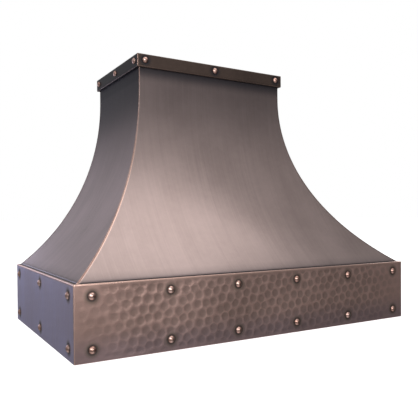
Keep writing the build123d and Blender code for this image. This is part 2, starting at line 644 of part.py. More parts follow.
def blower_case():
    """Sheet case over the plenum's opening, with a slot in its top for the two outlets."""
    y0, y1 = CROWN_Y - CASE_FRONT, CROWN_Y + CASE_BACK
    case = block(-CASE_HALF_W, CASE_HALF_W, y0, y1, CASE_Z, CASE_TOP)
    case -= block(-CASE_HALF_W + CASE_T, CASE_HALF_W - CASE_T, y0 + CASE_T, y1 - CASE_T,
                  CASE_Z - 1, CASE_TOP - CASE_T)
    flange_x = CASE_HALF_W + CASE_FLANGE
    case += frame_block(flange_x, y0 - CASE_FLANGE, y1 + CASE_FLANGE, CASE_Z, CASE_Z + CASE_T, CASE_FLANGE)
    half_x, half_y = TRANSITION_HALF_X - CASE_T, TRANSITION_HALF_Y - CASE_T
    case -= block(-half_x, half_x, CROWN_Y - half_y, CROWN_Y + half_y, CASE_TOP - 2 * CASE_T, CASE_TOP)
    save("blower_case", case)


def motor_and_bracket():
    """Double-shaft motor on a strap across the case."""
    axis = (1, 0, 0)
    motor = rod(MOTOR_R, (-MOTOR_L / 2, AXLE_Y, AXLE_Z), axis, MOTOR_L)
    motor = chamfer(motor.edges(), 4)
    slots = [Pos(0, AXLE_Y, AXLE_Z) * Rot(30 * i, 0, 0) * block(-40, 40, -2, 2, MOTOR_R - 3, MOTOR_R + 1)
             for i in range(12) if i != 6]
    motor -= slots
    motor -= rod(AXLE_R + AXLE_FIT, (-MOTOR_L / 2, AXLE_Y, AXLE_Z), axis, MOTOR_L)
    save("blower_motor", motor)
    top = AXLE_Z - MOTOR_R
    y0, y1 = CROWN_Y - CASE_FRONT + CASE_T, CROWN_Y + CASE_BACK - CASE_T
    half = MOTOR_L / 2 - 10
    strap = block(-half, half, y0, y1, top - BAR_T, top)
    strap += block(-half, half, y0, y0 + BAR_T, top, top + ANGLE_LEG)
    strap += block(-half, half, y1 - BAR_T, y1, top, top + ANGLE_LEG)
    save("motor_bracket", strap)


def rotor():
    """Motor shaft and two squirrel-cage wheels, each with a middle disc, blades and end rings."""
    axis = (1, 0, 0)
    reach = SCROLL_INNER_X + SCROLL_W
    save("blower_shaft", rod(AXLE_R, (-reach, AXLE_Y, AXLE_Z), axis, 2 * reach))
    inner = WHEEL_R - BLADE_DEPTH
    for name, side in (("left", -1), ("right", 1)):
        middle = side * (SCROLL_INNER_X + SCROLL_W / 2)
        start = middle - WHEEL_W / 2
        wheel = tube(WHEEL_R, AXLE_R, (middle - BLADE_T, AXLE_Y, AXLE_Z), axis, 2 * BLADE_T)
        wheel += tube(4 * AXLE_R, AXLE_R, (middle - WHEEL_W / 4, AXLE_Y, AXLE_Z), axis, WHEEL_W / 2)
        wheel += tube(WHEEL_R, inner, (start, AXLE_Y, AXLE_Z), axis, BLADE_T)
        wheel += tube(WHEEL_R, inner, (start + WHEEL_W - BLADE_T, AXLE_Y, AXLE_Z), axis, BLADE_T)
        blade = block(start + BLADE_T / 2, start + WHEEL_W - BLADE_T / 2,
                      -BLADE_T / 2, BLADE_T / 2, inner + BLADE_T, WHEEL_R - BLADE_T)
        pitch = 360 / WHEEL_BLADES
        wheel += [Pos(0, AXLE_Y, AXLE_Z) * Rot(pitch * i, 0, 0) * blade for i in range(WHEEL_BLADES)]
        save(f"blower_wheel_{name}", wheel)


# ---- duct and damper -------------------------------------------------------------------------------------
def transition():
    """Rectangle-to-round adaptor from the case's slot up to the damper collar."""
    skins = []
    for wall in (0, CASE_T):
        foot = Plane.XY.offset(CASE_TOP) * Pos(0, CROWN_Y) * Rectangle(
            2 * (TRANSITION_HALF_X - wall), 2 * (TRANSITION_HALF_Y - wall))
        top = Plane.XY.offset(COLLAR_Z) * Pos(0, CROWN_Y) * Circle(COLLAR_R - wall)
        skins.append(loft([foot, top]))
    save("duct_transition", skins[0] - skins[1])


def duct():
    """Damper collar with its stop ring, and the duct pipe with a bead below its free stub."""
    up = (0, 0, 1)
    inner = COLLAR_R - COLLAR_T
    collar = tube(COLLAR_R, inner, (0, CROWN_Y, COLLAR_Z), up, COLLAR_H)
    stop_z = DAMPER_Z - FLAP_T / 2 - COLLAR_T
    stop = tube(COLLAR_R, inner - STOP_IN, (0, CROWN_Y, stop_z), up, COLLAR_T)
    slot_y = KNUCKLE_R + 1
    stop -= block(-DUCT_R, DUCT_R, CROWN_Y - slot_y, CROWN_Y + slot_y, stop_z, stop_z + COLLAR_T)
    collar += stop
    collar -= rod(DAMPER_ROD_R, (-DUCT_R, CROWN_Y, DAMPER_Z), (1, 0, 0), 2 * DUCT_R)
    save("damper_collar", collar)
    pipe = tube(DUCT_R, DUCT_R - DUCT_T, (0, CROWN_Y, DUCT_BOTTOM), up, DUCT_TOP - DUCT_BOTTOM)
    bead_z = DUCT_TOP - DUCT_STUB - BEAD_R
    bead = Pos(0, CROWN_Y, bead_z) * Torus(DUCT_R, BEAD_R)
    bore = rod(DUCT_R - DUCT_T, (0, CROWN_Y, DUCT_BOTTOM), up, DUCT_TOP - DUCT_BOTTOM)
    save("duct_pipe", pipe + (bead - bore))


def damper():
    """Two half-round flaps on one rod, each with two knuckles between its neighbour's."""
    axis = (1, 0, 0)
    reach = DUCT_R - DUCT_T - COLLAR_FIT
    save("damper_rod", rod(DAMPER_ROD_R, (-reach, CROWN_Y, DAMPER_Z), axis, 2 * reach))
    radius = COLLAR_R - COLLAR_T - FLAP_GAP
    edge = KNUCKLE_R + 1
    knuckles = {"front": (-1, (-2 * KNUCKLE_L - 3, 1)), "back": (1, (-KNUCKLE_L - 1, KNUCKLE_L + 3))}
    for name, (side, starts) in knuckles.items():
        low, high = sorted((side * edge, side * DUCT_R))
        flap = rod(radius, (0, CROWN_Y, DAMPER_Z - FLAP_T / 2), (0, 0, 1), FLAP_T)
        flap &= block(-DUCT_R, DUCT_R, CROWN_Y + low, CROWN_Y + high, DAMPER_Z - FLAP_T, DAMPER_Z + FLAP_T)
        for start in starts:
            ear_low, ear_high = sorted((side * DAMPER_ROD_R, side * edge))
            flap += block(start, start + KNUCKLE_L, CROWN_Y + ear_low, CROWN_Y + ear_high,
                          DAMPER_Z - FLAP_T / 2, DAMPER_Z + FLAP_T / 2)
            flap += rod(KNUCKLE_R, (start, CROWN_Y, DAMPER_Z), axis, KNUCKLE_L)
        flap -= rod(DAMPER_ROD_R + DAMPER_FIT, (-DUCT_R, CROWN_Y, DAMPER_Z), axis, 2 * DUCT_R)
        save(f"damper_flap_{name}", flap)


# ---- wiring ------------------------------------------------------------------------------------------------
def cable_place():
    """Plan place of the supply cable's knockout."""
    return -CEILING_BOLT_X / 2 + 50, CROWN_Y + CEILING_BOLT_Y / 2


def junction_box():
    """Wiring box under the ceiling plate's knockout, with its lid underneath."""
    x, y = cable_place()
    half_x, half_y = WIRING_HALF_X, WIRING_HALF_Y
    foot = PLATE_Z - WIRING_DEPTH
    box = block(x - half_x, x + half_x, y - half_y, y + half_y, foot, PLATE_Z)
    box -= block(x - half_x + LINER_T, x + half_x - LINER_T, y - half_y + LINER_T, y + half_y - LINER_T,
                 foot, PLATE_Z - LINER_T)
    box -= rod(CABLE_R + KNOCKOUT_ROOM, (x, y, PLATE_Z - LINER_T), (0, 0, 1), LINER_T)
    save("junction_box", box)
    lid_x, lid_y = half_x + WIRING_LID_LIP, half_y + WIRING_LID_LIP
    lid = block(x - lid_x, x + lid_x, y - lid_y, y + lid_y, foot - LINER_T, foot)
    save("junction_lid", lid)


def main():
    """Write every node."""
    os.makedirs("parts", exist_ok=True)
    body_panels()
    apron_and_crown()
    rings_and_posts()
    rails_and_uprights()
    ceiling_plate()
    frame_fasteners()
    liner()
    filters()
    grease_tray()
    lamps()
    controls()
    scrolls()
    blower_case()
    motor_and_bracket()
    rotor()
    transition()
    duct()
    damper()
    junction_box()


main()
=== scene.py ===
"""Looks of a swept copper range hood: hammered apron, brushed body, riveted crown, steel inside."""
import json
import logging
import math
import random
from dataclasses import dataclass
from enum import Enum
from typing import Callable, Optional, Sequence, Union

import bmesh
import bpy
from mathutils import Matrix, Vector, kdtree

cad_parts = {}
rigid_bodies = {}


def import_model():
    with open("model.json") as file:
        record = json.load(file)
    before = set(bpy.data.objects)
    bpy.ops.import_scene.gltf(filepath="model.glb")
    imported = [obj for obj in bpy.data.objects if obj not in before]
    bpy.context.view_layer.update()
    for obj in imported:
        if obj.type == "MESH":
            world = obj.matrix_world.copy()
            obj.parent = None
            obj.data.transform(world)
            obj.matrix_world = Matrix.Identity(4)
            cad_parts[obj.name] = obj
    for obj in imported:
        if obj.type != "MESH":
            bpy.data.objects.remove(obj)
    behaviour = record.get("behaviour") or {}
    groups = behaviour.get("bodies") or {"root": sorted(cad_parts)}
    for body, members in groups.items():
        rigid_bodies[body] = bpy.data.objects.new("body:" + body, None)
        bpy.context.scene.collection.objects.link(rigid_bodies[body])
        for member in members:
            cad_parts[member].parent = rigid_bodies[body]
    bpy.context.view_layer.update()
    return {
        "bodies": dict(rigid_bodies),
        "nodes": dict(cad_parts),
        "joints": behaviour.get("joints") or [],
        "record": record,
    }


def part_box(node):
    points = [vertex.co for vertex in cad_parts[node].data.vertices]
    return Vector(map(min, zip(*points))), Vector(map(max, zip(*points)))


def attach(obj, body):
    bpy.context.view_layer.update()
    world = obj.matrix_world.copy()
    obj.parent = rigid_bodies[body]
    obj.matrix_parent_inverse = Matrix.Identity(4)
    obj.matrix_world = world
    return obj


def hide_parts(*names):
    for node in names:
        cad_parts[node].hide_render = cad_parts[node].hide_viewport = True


LOG = logging.getLogger("hood")
Triple = tuple[float, float, float]
Colour = Triple
MARKS = ("wear", "shade", "dimple", "bloom")
MM = 0.001
TINY = 1e-6
BARE: Colour = (0.93, 0.64, 0.54)
# Near-black that the deepest painted shade goes to, at the body's foot and top and on the apron's ledge;
# round rivets it also stands for patina.
SOOT: Colour = (0.045, 0.045, 0.055)
# Near-black painted shade on the rims of rivet domes and along the shaded stretches of the ridge beads.
CREVICE: Colour = (0.012, 0.010, 0.012)


# ---- shader maths ----
@dataclass(frozen=True)
class Signal:
    """One output socket, with the arithmetic that shader masks need."""

    graph: "Graph"
    socket: bpy.types.NodeSocket

    def _math(self, operation: str, left: "Value", right: "Value") -> "Signal":
        """Add one Math node for an operation on two values."""
        return self.graph.node("ShaderNodeMath", {"operation": operation}, {0: left, 1: right})

    def __add__(self, other: "Value") -> "Signal":
        """Sum of two masks."""
        return self._math("ADD", self, other)

    __radd__ = __add__

    def __sub__(self, other: "Value") -> "Signal":
        """Difference of two masks."""
        return self._math("SUBTRACT", self, other)

    def __rsub__(self, other: "Value") -> "Signal":
        """Difference, with the mask taken away."""
        return self._math("SUBTRACT", other, self)

    def __mul__(self, other: "Value") -> "Signal":
        """Product of two masks."""
        return self._math("MULTIPLY", self, other)

    __rmul__ = __mul__

    def span(self, low: float, high: float, to_low: float = 0.0, to_high: float = 1.0) -> "Signal":
        """Stretch the range low..high to another range, smoothly and clamped.

        Args:
            low: value that becomes to_low.
            high: value that becomes to_high.
            to_low: result at and below low.
            to_high: result at and above high.

        Returns:
            The stretched mask.
        """
        settings = {"interpolation_type": "SMOOTHSTEP"}
        inputs = {"Value": self, "From Min": low, "From Max": high, "To Min": to_low, "To Max": to_high}
        return self.graph.node("ShaderNodeMapRange", settings, inputs)


Value = Union[Signal, float]


class Graph:
    """A node tree under construction."""

    def __init__(self, tree: bpy.types.NodeTree) -> None:
        """Start from an empty tree."""
        self.tree = tree
        self.tree.nodes.clear()

    def node(self, kind: str, settings: dict, inputs: dict, output: Union[str, int] = 0) -> Signal:
        """Add a node: settings first, then the values or links of its sockets.

        Args:
            kind: node type.
            settings: properties to set before the sockets are read.
            inputs: socket name or index to a value or a Signal.
            output: the output socket to return.

        Returns:
            The chosen output as a Signal.
        """
        node = self.tree.nodes.new(kind)
        for key, value in settings.items():
            setattr(node, key, value)
        for key, value in inputs.items():
            self.feed(node.inputs[key], value)
        return Signal(self, node.outputs[output])

    def feed(self, socket: bpy.types.NodeSocket, value: Union[Value, Sequence[float]]) -> None:
        """Link a Signal to a socket, or set the socket's own value."""
        if isinstance(value, Signal):
            self.tree.links.new(value.socket, socket)
        elif isinstance(value, tuple) and len(value) == 3 and socket.type == "RGBA":
            socket.default_value = (*value, 1.0)
        else:
            socket.default_value = value

    def coords(self, scale: Triple = (1, 1, 1), turn: Triple = (0, 0, 0)) -> Signal:
        """Object coordinates through a Mapping node, with a scale and a turn in degrees."""
        place = self.node("ShaderNodeTexCoord", {}, {}, "Object")
        angles = tuple(math.radians(angle) for angle in turn)
        return self.node("ShaderNodeMapping", {}, {"Vector": place, "Rotation": angles, "Scale": scale})

    def noise(self, vector: Signal, scale: float, detail: float = 2.0, rough: float = 0.5) -> Signal:
        """Fractal noise between 0 and 1 about a half."""
        inputs = {"Vector": vector, "Scale": scale, "Detail": detail, "Roughness": rough}
        return self.node("ShaderNodeTexNoise", {}, inputs, "Fac")

    def cells(self, vector: Signal, scale: float) -> Signal:
        """A random colour for each Voronoi cell."""
        inputs = {"Vector": vector, "Scale": scale}
        return self.node("ShaderNodeTexVoronoi", {"feature": "F1"}, inputs, "Color")

    def mark(self, name: str) -> Signal:
        """One of the piece's own vertex masks."""
        return self.node("ShaderNodeAttribute", {"attribute_name": name}, {}, "Fac")

    def mix(self, factor: Value, first: Union[Signal, Colour], second: Union[Signal, Colour]) -> Signal:
        """Blend two colours.

        Args:
            factor: how much of the second colour shows.
            first: colour or link.
            second: colour or link.

        Returns:
            The blended colour.
        """
        settings = {"data_type": "RGBA", "blend_type": "MIX", "clamp_factor": True}
        return self.node("ShaderNodeMix", settings, {0: factor, 6: first, 7: second}, 2)


class Coat(Graph):
    """A material under construction: one Principled shader and the nodes that feed it."""

    def __init__(self, name: str) -> None:
        """Start an empty material with its shader and output.

        Args:
            name: the material's name.
        """
        self.material = bpy.data.materials.new(name)
        self.material.use_nodes = True
        super().__init__(self.material.node_tree)
        self.shader = self.tree.nodes.new("ShaderNodeBsdfPrincipled")
        self.output = self.tree.nodes.new("ShaderNodeOutputMaterial")
        self.tree.links.new(self.shader.outputs["BSDF"], self.output.inputs["Surface"])

    def bump(self, height: Signal, strength: float, distance: float) -> None:
        """Feed the shader's normal from a height mask."""
        inputs = {"Height": height, "Strength": strength, "Distance": distance}
        normal = self.node("ShaderNodeBump", {}, inputs, "Normal")
        self.feed(self.shader.inputs["Normal"], normal)

    def finish(self, **sockets: Union[Value, Colour]) -> bpy.types.Material:
        """Set the shader's sockets by name, with underscores for spaces, and return the material."""
        for name, value in sockets.items():
            self.feed(self.shader.inputs[name.replace("_", " ")], value)
        return self.material


# ---- finishes ----
class Grain(Enum):
    """Direction across which brush lines are packed: the Mapping scale of a fine line pattern."""

    ACROSS_X = (560.0, 2.0, 3.0)
    ACROSS_Y = (2.0, 560.0, 3.0)
    ACROSS_Z = (3.0, 3.0, 560.0)


@dataclass(frozen=True)
class AgedCopper:
    """Brushed copper under a brown patina, worn bright on its edges, with painted shade and a painted
    highlight laid in by vertex masks.

    Attributes:
        name: material name.
        light: patina where it is thin.
        deep: patina where it is thick.
        bare: worn copper on edges and hammer rims, also the painted highlight along the body's front
            ridges.
        shadow: patina in hammer hollows and round rivets, and the colour of painted shade round rivets,
            on the apron's ledge, at the body's foot and under the crown.
        bloom: blue-purple tint, partly oxide and partly painted reflection.
        grain: direction of the brush lines.
        tilt: turn of the brush lines about the panel's normal, degrees.
        rough: roughness of the sheet.
        lines: strength of the brush lines.
        hammered: whether the dimple mask colours the sheet.

    The class values weigh the noises and masks; a pair named step is where a smooth step runs.
    """

    name: str
    light: Colour
    deep: Colour
    bare: Colour
    shadow: Colour
    bloom: Colour
    grain: Grain
    tilt: Triple = (0.0, 0.0, 0.0)
    rough: float = 0.31
    lines: float = 0.5
    hammered: bool = False

    metal = 0.92
    broad_thin, broad_long = 0.12, 0.7
    streak_broad, streak_fine = 0.30, 0.56
    cloud_share, fleck_share, line_offset = 0.5, 0.12, 0.43
    patina_step = (0.08, 0.55)
    rough_line, rough_cloud, rough_shade, rough_wear = 0.16, 0.12, 0.10, 0.08
    hollow_tint = 0.30
    rim_wear = (0.22, 0.4)
    bloom_mix = (0.45, 0.4, 0.3)
    crust_step, crust = (0.55, 1.0), 0.6
    wear_mix, wear_step = (0.85, 0.3), (0.12, 0.95)
    bump_strength, bump_depth = 0.10, 0.0006

    def broad_scale(self) -> Triple:
        """Mapping scale of the broad streaks, from that of the fine lines."""
        widest = max(self.grain.value)
        return tuple(v * (self.broad_thin if v == widest else self.broad_long) for v in self.grain.value)

    def make(self) -> bpy.types.Material:
        """Build the material."""
        graph = Coat(self.name)
        fine = graph.noise(graph.coords(self.grain.value, self.tilt), 1.0, 3.0, 0.65)
        broad = graph.noise(graph.coords(self.broad_scale(), self.tilt), 1.0, 2.0, 0.5)
        cloud = graph.noise(graph.coords(), 5.0, 4.0, 0.55)
        fleck = graph.noise(graph.coords(), 60.0, 3.0, 0.6)
        streak = broad * (self.streak_broad * self.lines) + fine * (self.streak_fine * self.lines)
        weighed = cloud * self.cloud_share + streak + fleck * self.fleck_share
        patina = (weighed - self.line_offset * self.lines).span(*self.patina_step)
        colour = graph.mix(patina, self.deep, self.light)
        rough = self.rough + (fine - 0.5) * (self.rough_line * self.lines)
        rough = rough + (cloud - 0.5) * self.rough_cloud
        if self.hammered:
            rim = graph.mark("dimple")
            colour = graph.mix((1.0 - rim).span(0.5, 1.0, 0.0, self.hollow_tint), colour, self.shadow)
            least, clouded = self.rim_wear
            colour = graph.mix(rim.span(0.5, 1.0) * (least + cloud * clouded), colour, self.bare)
        # Blue-purple tint from the vertex mask, partly oxide and partly painted reflection.
        least, clouded, streaked = self.bloom_mix
        tarnish = graph.mark("bloom") * (least + cloud * clouded + streak * streaked)
        colour = graph.mix(tarnish, colour, self.bloom)
        # Painted shade from the vertex mask, darkest to near-black; round rivets it is also patina.
        shade = graph.mark("shade")
        colour = graph.mix(shade, colour, self.shadow)
        colour = graph.mix(shade.span(*self.crust_step, 0.0, self.crust), colour, SOOT)
        # Bare copper on worn edges; along the body's front ridges this is also a painted highlight.
        least, flecked = self.wear_mix
        wear = (graph.mark("wear") * (least + fleck * flecked)).span(*self.wear_step)
        colour = graph.mix(wear, colour, self.bare)
        rough = rough + shade * self.rough_shade - wear * self.rough_wear
        graph.bump(fine * self.lines, self.bump_strength, self.bump_depth)
        return graph.finish(Base_Color=colour, Metallic=self.metal, Roughness=rough, IOR=1.5)


@dataclass(frozen=True)
class RubbedCopper:
    """Bare copper rubbed bright, with painted shade where it meets the sheet and on the shaded stretches
    of the ridge beads.
    """

    name: str
    bright: Colour
    dull: Colour
    rough: float = 0.24

    def make(self) -> bpy.types.Material:
        """Build the material."""
        graph = Coat(self.name)
        smear = graph.noise(graph.coords(), 70.0, 3.0, 0.5)
        broad = graph.noise(graph.coords(), 9.0, 2.0, 0.5)
        # Painted shade from the vertex mask: the rim of each dome, and the ridge beads near the crown, at
        # the back and on the right.
        foot = graph.mark("shade")
        colour = graph.mix((smear * 0.7 + broad * 0.6).span(0.45, 0.9), self.dull, self.bright)
        colour = graph.mix(foot, colour, CREVICE)
        graph.bump(smear, 0.05, 0.0005)
        rough = self.rough + (smear - 0.5) * 0.10 + foot * 0.25
        return graph.finish(Base_Color=colour, Metallic=1.0, Roughness=rough)


@dataclass(frozen=True)
class BrushedSteel:
    """Stainless or zinc sheet with packed brush lines and faint smears."""

    name: str
    light: Colour
    deep: Colour
    grain: Grain
    rough: float = 0.32

    def make(self) -> bpy.types.Material:
        """Build the material."""
        graph = Coat(self.name)
        fine = graph.noise(graph.coords(self.grain.value), 1.0, 3.0, 0.6)
        smear = graph.noise(graph.coords(), 7.0, 3.0, 0.55)
        colour = graph.mix((fine * 0.5 + smear * 0.6).span(0.3, 0.85), self.deep, self.light)
        graph.bump(fine, 0.08, 0.0004)
        rough = self.rough + (fine - 0.5) * 0.14 + (smear - 0.5) * 0.10
        return graph.finish(Base_Color=colour, Metallic=1.0, Roughness=rough)


@dataclass(frozen=True)
class Galvanised:
    """Zinc-dipped sheet with crystal spangle."""

    name: str
    light: Colour = (0.50, 0.52, 0.54)
    deep: Colour = (0.30, 0.32, 0.34)

    def make(self) -> bpy.types.Material:
        """Build the material."""
        graph = Coat(self.name)
        place = graph.coords()
        flake = graph.cells(place, 70.0)
        grey = graph.node("ShaderNodeRGBToBW", {}, {"Color": flake})
        cloud = graph.noise(place, 12.0, 3.0, 0.5)
        colour = graph.mix((grey * 0.8 + cloud * 0.4).span(0.2, 0.95), self.deep, self.light)
        graph.bump(grey, 0.04, 0.0004)
        return graph.finish(Base_Color=colour, Metallic=0.95, Roughness=0.34 + grey * 0.16)


@dataclass(frozen=True)
class Coated:
    """Paint or moulded plastic with a fine skin texture and rubbed, dusty patches."""

    name: str
    base: Colour
    dusty: Colour
    rough: float
    skin: float = 900.0

    def make(self) -> bpy.types.Material:
        """Build the material."""
        graph = Coat(self.name)
        place = graph.coords()
        skin = graph.noise(place, self.skin, 2.0, 0.5)
        dust = graph.noise(place, 11.0, 4.0, 0.6)
        colour = graph.mix(dust.span(0.45, 0.75, 0.0, 0.6), self.base, self.dusty)
        graph.bump(skin, 0.12, 0.0003)
        return graph.finish(Base_Color=colour, Roughness=self.rough + (dust - 0.5) * 0.2)


@dataclass(frozen=True)
class FrostedLens:
    """Lamp lens: frosted glass, faintly clouded."""

    name: str
    tint: Colour = (0.86, 0.88, 0.86)

    def make(self) -> bpy.types.Material:
        """Build the material."""
        graph = Coat(self.name)
        place = graph.coords()
        frost = graph.noise(place, 500.0, 2.0, 0.5)
        cloud = graph.noise(place, 25.0, 2.0, 0.5)
        colour = graph.mix(cloud, self.tint, (0.97, 0.97, 0.95))
        graph.bump(frost, 0.2, 0.0003)
        graph.shader.inputs["Transmission Weight"].default_value = 0.35
        return graph.finish(Base_Color=colour, Roughness=0.30 + frost * 0.15, IOR=1.49)


@dataclass(frozen=True)
class StudioPaper:
    """Plain pale floor with a barely visible tooth, clear when looked at from underneath."""

    name: str
    tone: Colour = (0.88, 0.88, 0.88)
    glow: float = 0.80

    def make(self) -> bpy.types.Material:
        """Build the material."""
        graph = Coat(self.name)
        tooth = graph.noise(graph.coords(), 120.0, 2.0, 0.5)
        faint = tuple(v * 0.985 for v in self.tone)
        colour = graph.mix(tooth, faint, self.tone)
        graph.shader.inputs["Emission Strength"].default_value = self.glow
        paper = Signal(graph, graph.shader.outputs["BSDF"])
        clear = graph.node("ShaderNodeBsdfTransparent", {}, {})
        underneath = graph.node("ShaderNodeNewGeometry", {}, {}, "Backfacing")
        seen = graph.node("ShaderNodeMixShader", {}, {0: underneath, 1: paper, 2: clear})
        graph.feed(graph.output.inputs["Surface"], seen)
        return graph.finish(Base_Color=colour, Roughness=0.9, Emission_Color=(1.0, 1.0, 1.0))


# ---- mesh helpers ----
@dataclass(frozen=True)
class Spot:
    """Where one vertex of a sheet goes, and its masks."""

    place: Vector
    marks: dict[str, float]


def ease(low: float, high: float, value: float) -> float:
    """Smooth step from 0 at low to 1 at high; low may be the larger."""
    t = min(max((value - low) / (high - low), 0.0), 1.0)
    return t * t * (3 - 2 * t)


def steps(low: float, high: float, pitch: float) -> list[float]:
    """Even stations from low to high, at most a pitch apart."""
    count = max(1, math.ceil((high - low) / pitch))
    return [low + (high - low) * i / count for i in range(count + 1)]


def add_object(name: str, bm: bmesh.types.BMesh, finish: bpy.types.Material) -> bpy.types.Object:
    """Turn a bmesh into a smooth-shaded object at the origin.

    Args:
        name: object name.
        bm: the finished bmesh, freed here.
        finish: its material.

    Returns:
        The linked object.
    """
    mesh = bpy.data.meshes.new(name)
    bm.to_mesh(mesh)
    bm.free()
    mesh.polygons.foreach_set("use_smooth", [True] * len(mesh.polygons))
    mesh.materials.append(finish)
    piece = bpy.data.objects.new(name, mesh)
    bpy.context.scene.collection.objects.link(piece)
    return piece


def sheet(name: str, columns: Sequence, rows: Sequence, spot: Callable[..., Spot],
          finish: bpy.types.Material, wall: float) -> bpy.types.Object:
    """Shape a grid into a metal sheet and give it a wall.

    Args:
        name: object name.
        columns: stations along the sheet, left to right seen from outside.
        rows: stations up the sheet.
        spot: place and masks for one column and row.
        finish: material.
        wall: sheet thickness, added inwards.

    Returns:
        The sheet.
    """
    bm = bmesh.new()
    across, up = len(columns) - 1, len(rows) - 1
    bmesh.ops.create_grid(bm, x_segments=across, y_segments=up, size=0.5)
    layers = {mark: bm.verts.layers.float.new(mark) for mark in MARKS}
    for vert in bm.verts:
        here = spot(columns[round((vert.co.x + 0.5) * across)], rows[round((vert.co.y + 0.5) * up)])
        vert.co = here.place
        for mark, value in here.marks.items():
            vert[layers[mark]] = value
    piece = add_object(name, bm, finish)
    solid = piece.modifiers.new("wall", "SOLIDIFY")
    solid.thickness = wall
    solid.offset = -1.0
    return piece


# ---- sizes read from the frame ----
class Side(Enum):
    """The four sides, by quarter turns from the front."""

    FRONT = 0
    RIGHT = 1
    BACK = 2
    LEFT = 3

    @property
    def turn(self) -> Matrix:
        """Rotation from the front to this side."""
        return Matrix.Rotation(self.value * math.pi / 2, 4, "Z")

    @property
    def label(self) -> str:
        """The side's word in node names."""
        return self.name.lower()

    @property
    def wide(self) -> bool:
        """Whether the side faces along Y."""
        return self.value % 2 == 0


@dataclass(frozen=True)
class BandSize:
    """A rectangular band of sheet: its outer box and its plan centre."""

    width: float
    depth: float
    low: float
    high: float
    centre_y: float

    @staticmethod
    def read(prefix: str) -> "BandSize":
        """Measure a band from its four CAD panels."""
        boxes = [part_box(f"{prefix}_{side.label}") for side in Side]
        low = [min(box[0][i] for box in boxes) for i in range(3)]
        high = [max(box[1][i] for box in boxes) for i in range(3)]
        return BandSize(high[0] - low[0], high[1] - low[1], low[2], high[2], (low[1] + high[1]) / 2)

    def span(self, side: Side) -> tuple[float, float]:
        """(length along the side, distance from the centre to its face)."""
        if side.wide:
            return self.width, self.depth / 2
        return self.depth, self.width / 2

    def posed(self, side: Side, x: float, inset: float, z: float) -> Vector:
        """Point on a side: x along it, inset behind its face."""
        half = self.span(side)[1]
        return side.turn @ Vector((x, -half + inset, z)) + Vector((0, self.centre_y, 0))


@dataclass(frozen=True)
class RivetRows:
    """Where a band's rivets sit: end margin, number along wide and narrow sides, heights."""

    margin: float
    wide_count: int
    narrow_count: int
    heights: tuple[float, ...]

    def places(self, band: BandSize, side: Side) -> list[tuple[float, float]]:
        """(x, z) of each rivet on a side."""
        length = band.span(side)[0]
        count = self.wide_count if side.wide else self.narrow_count
        pitch = (length - 2 * self.margin) / (count - 1)
        return [(-length / 2 + self.margin + pitch * i, z) for z in self.heights for i in range(count)]


# ---- hammering ----
@dataclass(frozen=True)
class Hammering:
    """A staggered pattern of shallow round hammer hollows with standing rims.

    Attributes:
        pitch: distance between neighbouring hollows.
        ball: radius of the hammer's face.
        depth: deepest hollow below the rims.
        scatter: how far a blow strays, as a share of the pitch.
        slant: turn of the rows, degrees.
        seed: start of the random draws.
        softest: how much shallower a light blow may be, as a share of the depth.
    """

    pitch: float = 0.0295
    ball: float = 0.150
    depth: float = 0.0011
    scatter: float = 0.16
    slant: float = 8.0
    seed: int = 5
    softest: float = 0.35

    rim_step = (0.0034, 0.0002)
    hollow_step = (0.46, 0.30)
    neighbours = 4

    def blows(self, length: float, height: float) -> kdtree.KDTree:
        """Scatter the blows over one panel.

        Args:
            length: panel length, centred on zero.
            height: panel height from zero.

        Returns:
            A tree of blow centres; z holds how much shallower each blow is.
        """
        draw = random.Random(self.seed)
        row_pitch = self.pitch * math.sqrt(3) / 2
        reach = math.hypot(length / 2, height) + self.pitch
        count = math.ceil(reach / row_pitch)
        turn = Matrix.Rotation(math.radians(self.slant), 2)
        spots = []
        for row in range(-count, count + 1):
            for column in range(-count, count + 1):
                stagger = 0.5 * (row % 2)
                base = turn @ Vector(((column + stagger) * self.pitch, row * row_pitch))
                stray = Vector((draw.uniform(-1, 1), draw.uniform(-1, 1))) * self.scatter * self.pitch
                lift = draw.uniform(0.0, self.softest) * self.depth
                x, z = base + stray
                if abs(x) < length / 2 + self.pitch and -self.pitch < z < height + self.pitch:
                    spots.append((x, z, lift))
        tree = kdtree.KDTree(len(spots))
        for i, (x, z, lift) in enumerate(spots):
            tree.insert((x, z, lift), i)
        tree.balance()
        return tree

    def strike(self, tree: kdtree.KDTree, x: float, z: float) -> tuple[float, float]:
        """Read the pattern at one point.

        Args:
            tree: the blow centres.
            x: place along the panel.
            z: height above its foot.

        Returns:
            (height above the deepest hollow, mask from 0 in a hollow to 1 on a rim).
        """
        heights, reaches = [], []
        for centre, _, _ in tree.find_n((x, z, 0.0), self.neighbours):
            reach = math.hypot(centre.x - x, centre.y - z)
            reaches.append(reach)
            heights.append(reach ** 2 / (2 * self.ball) + centre.z)
        heights.sort()
        reaches.sort()
        rim = ease(*self.rim_step, reaches[1] - reaches[0])
        hollow = ease(*self.hollow_step, reaches[0] / self.pitch)
        return min(heights[0], self.depth), 0.5 + 0.5 * rim - 0.5 * hollow


# ---- apron and crown ----
@dataclass(frozen=True)
class Folds:
    """Rounded folds of a band panel: bend radius and the width of the two turned edges."""

    bend: float
    foot: float
    head: float


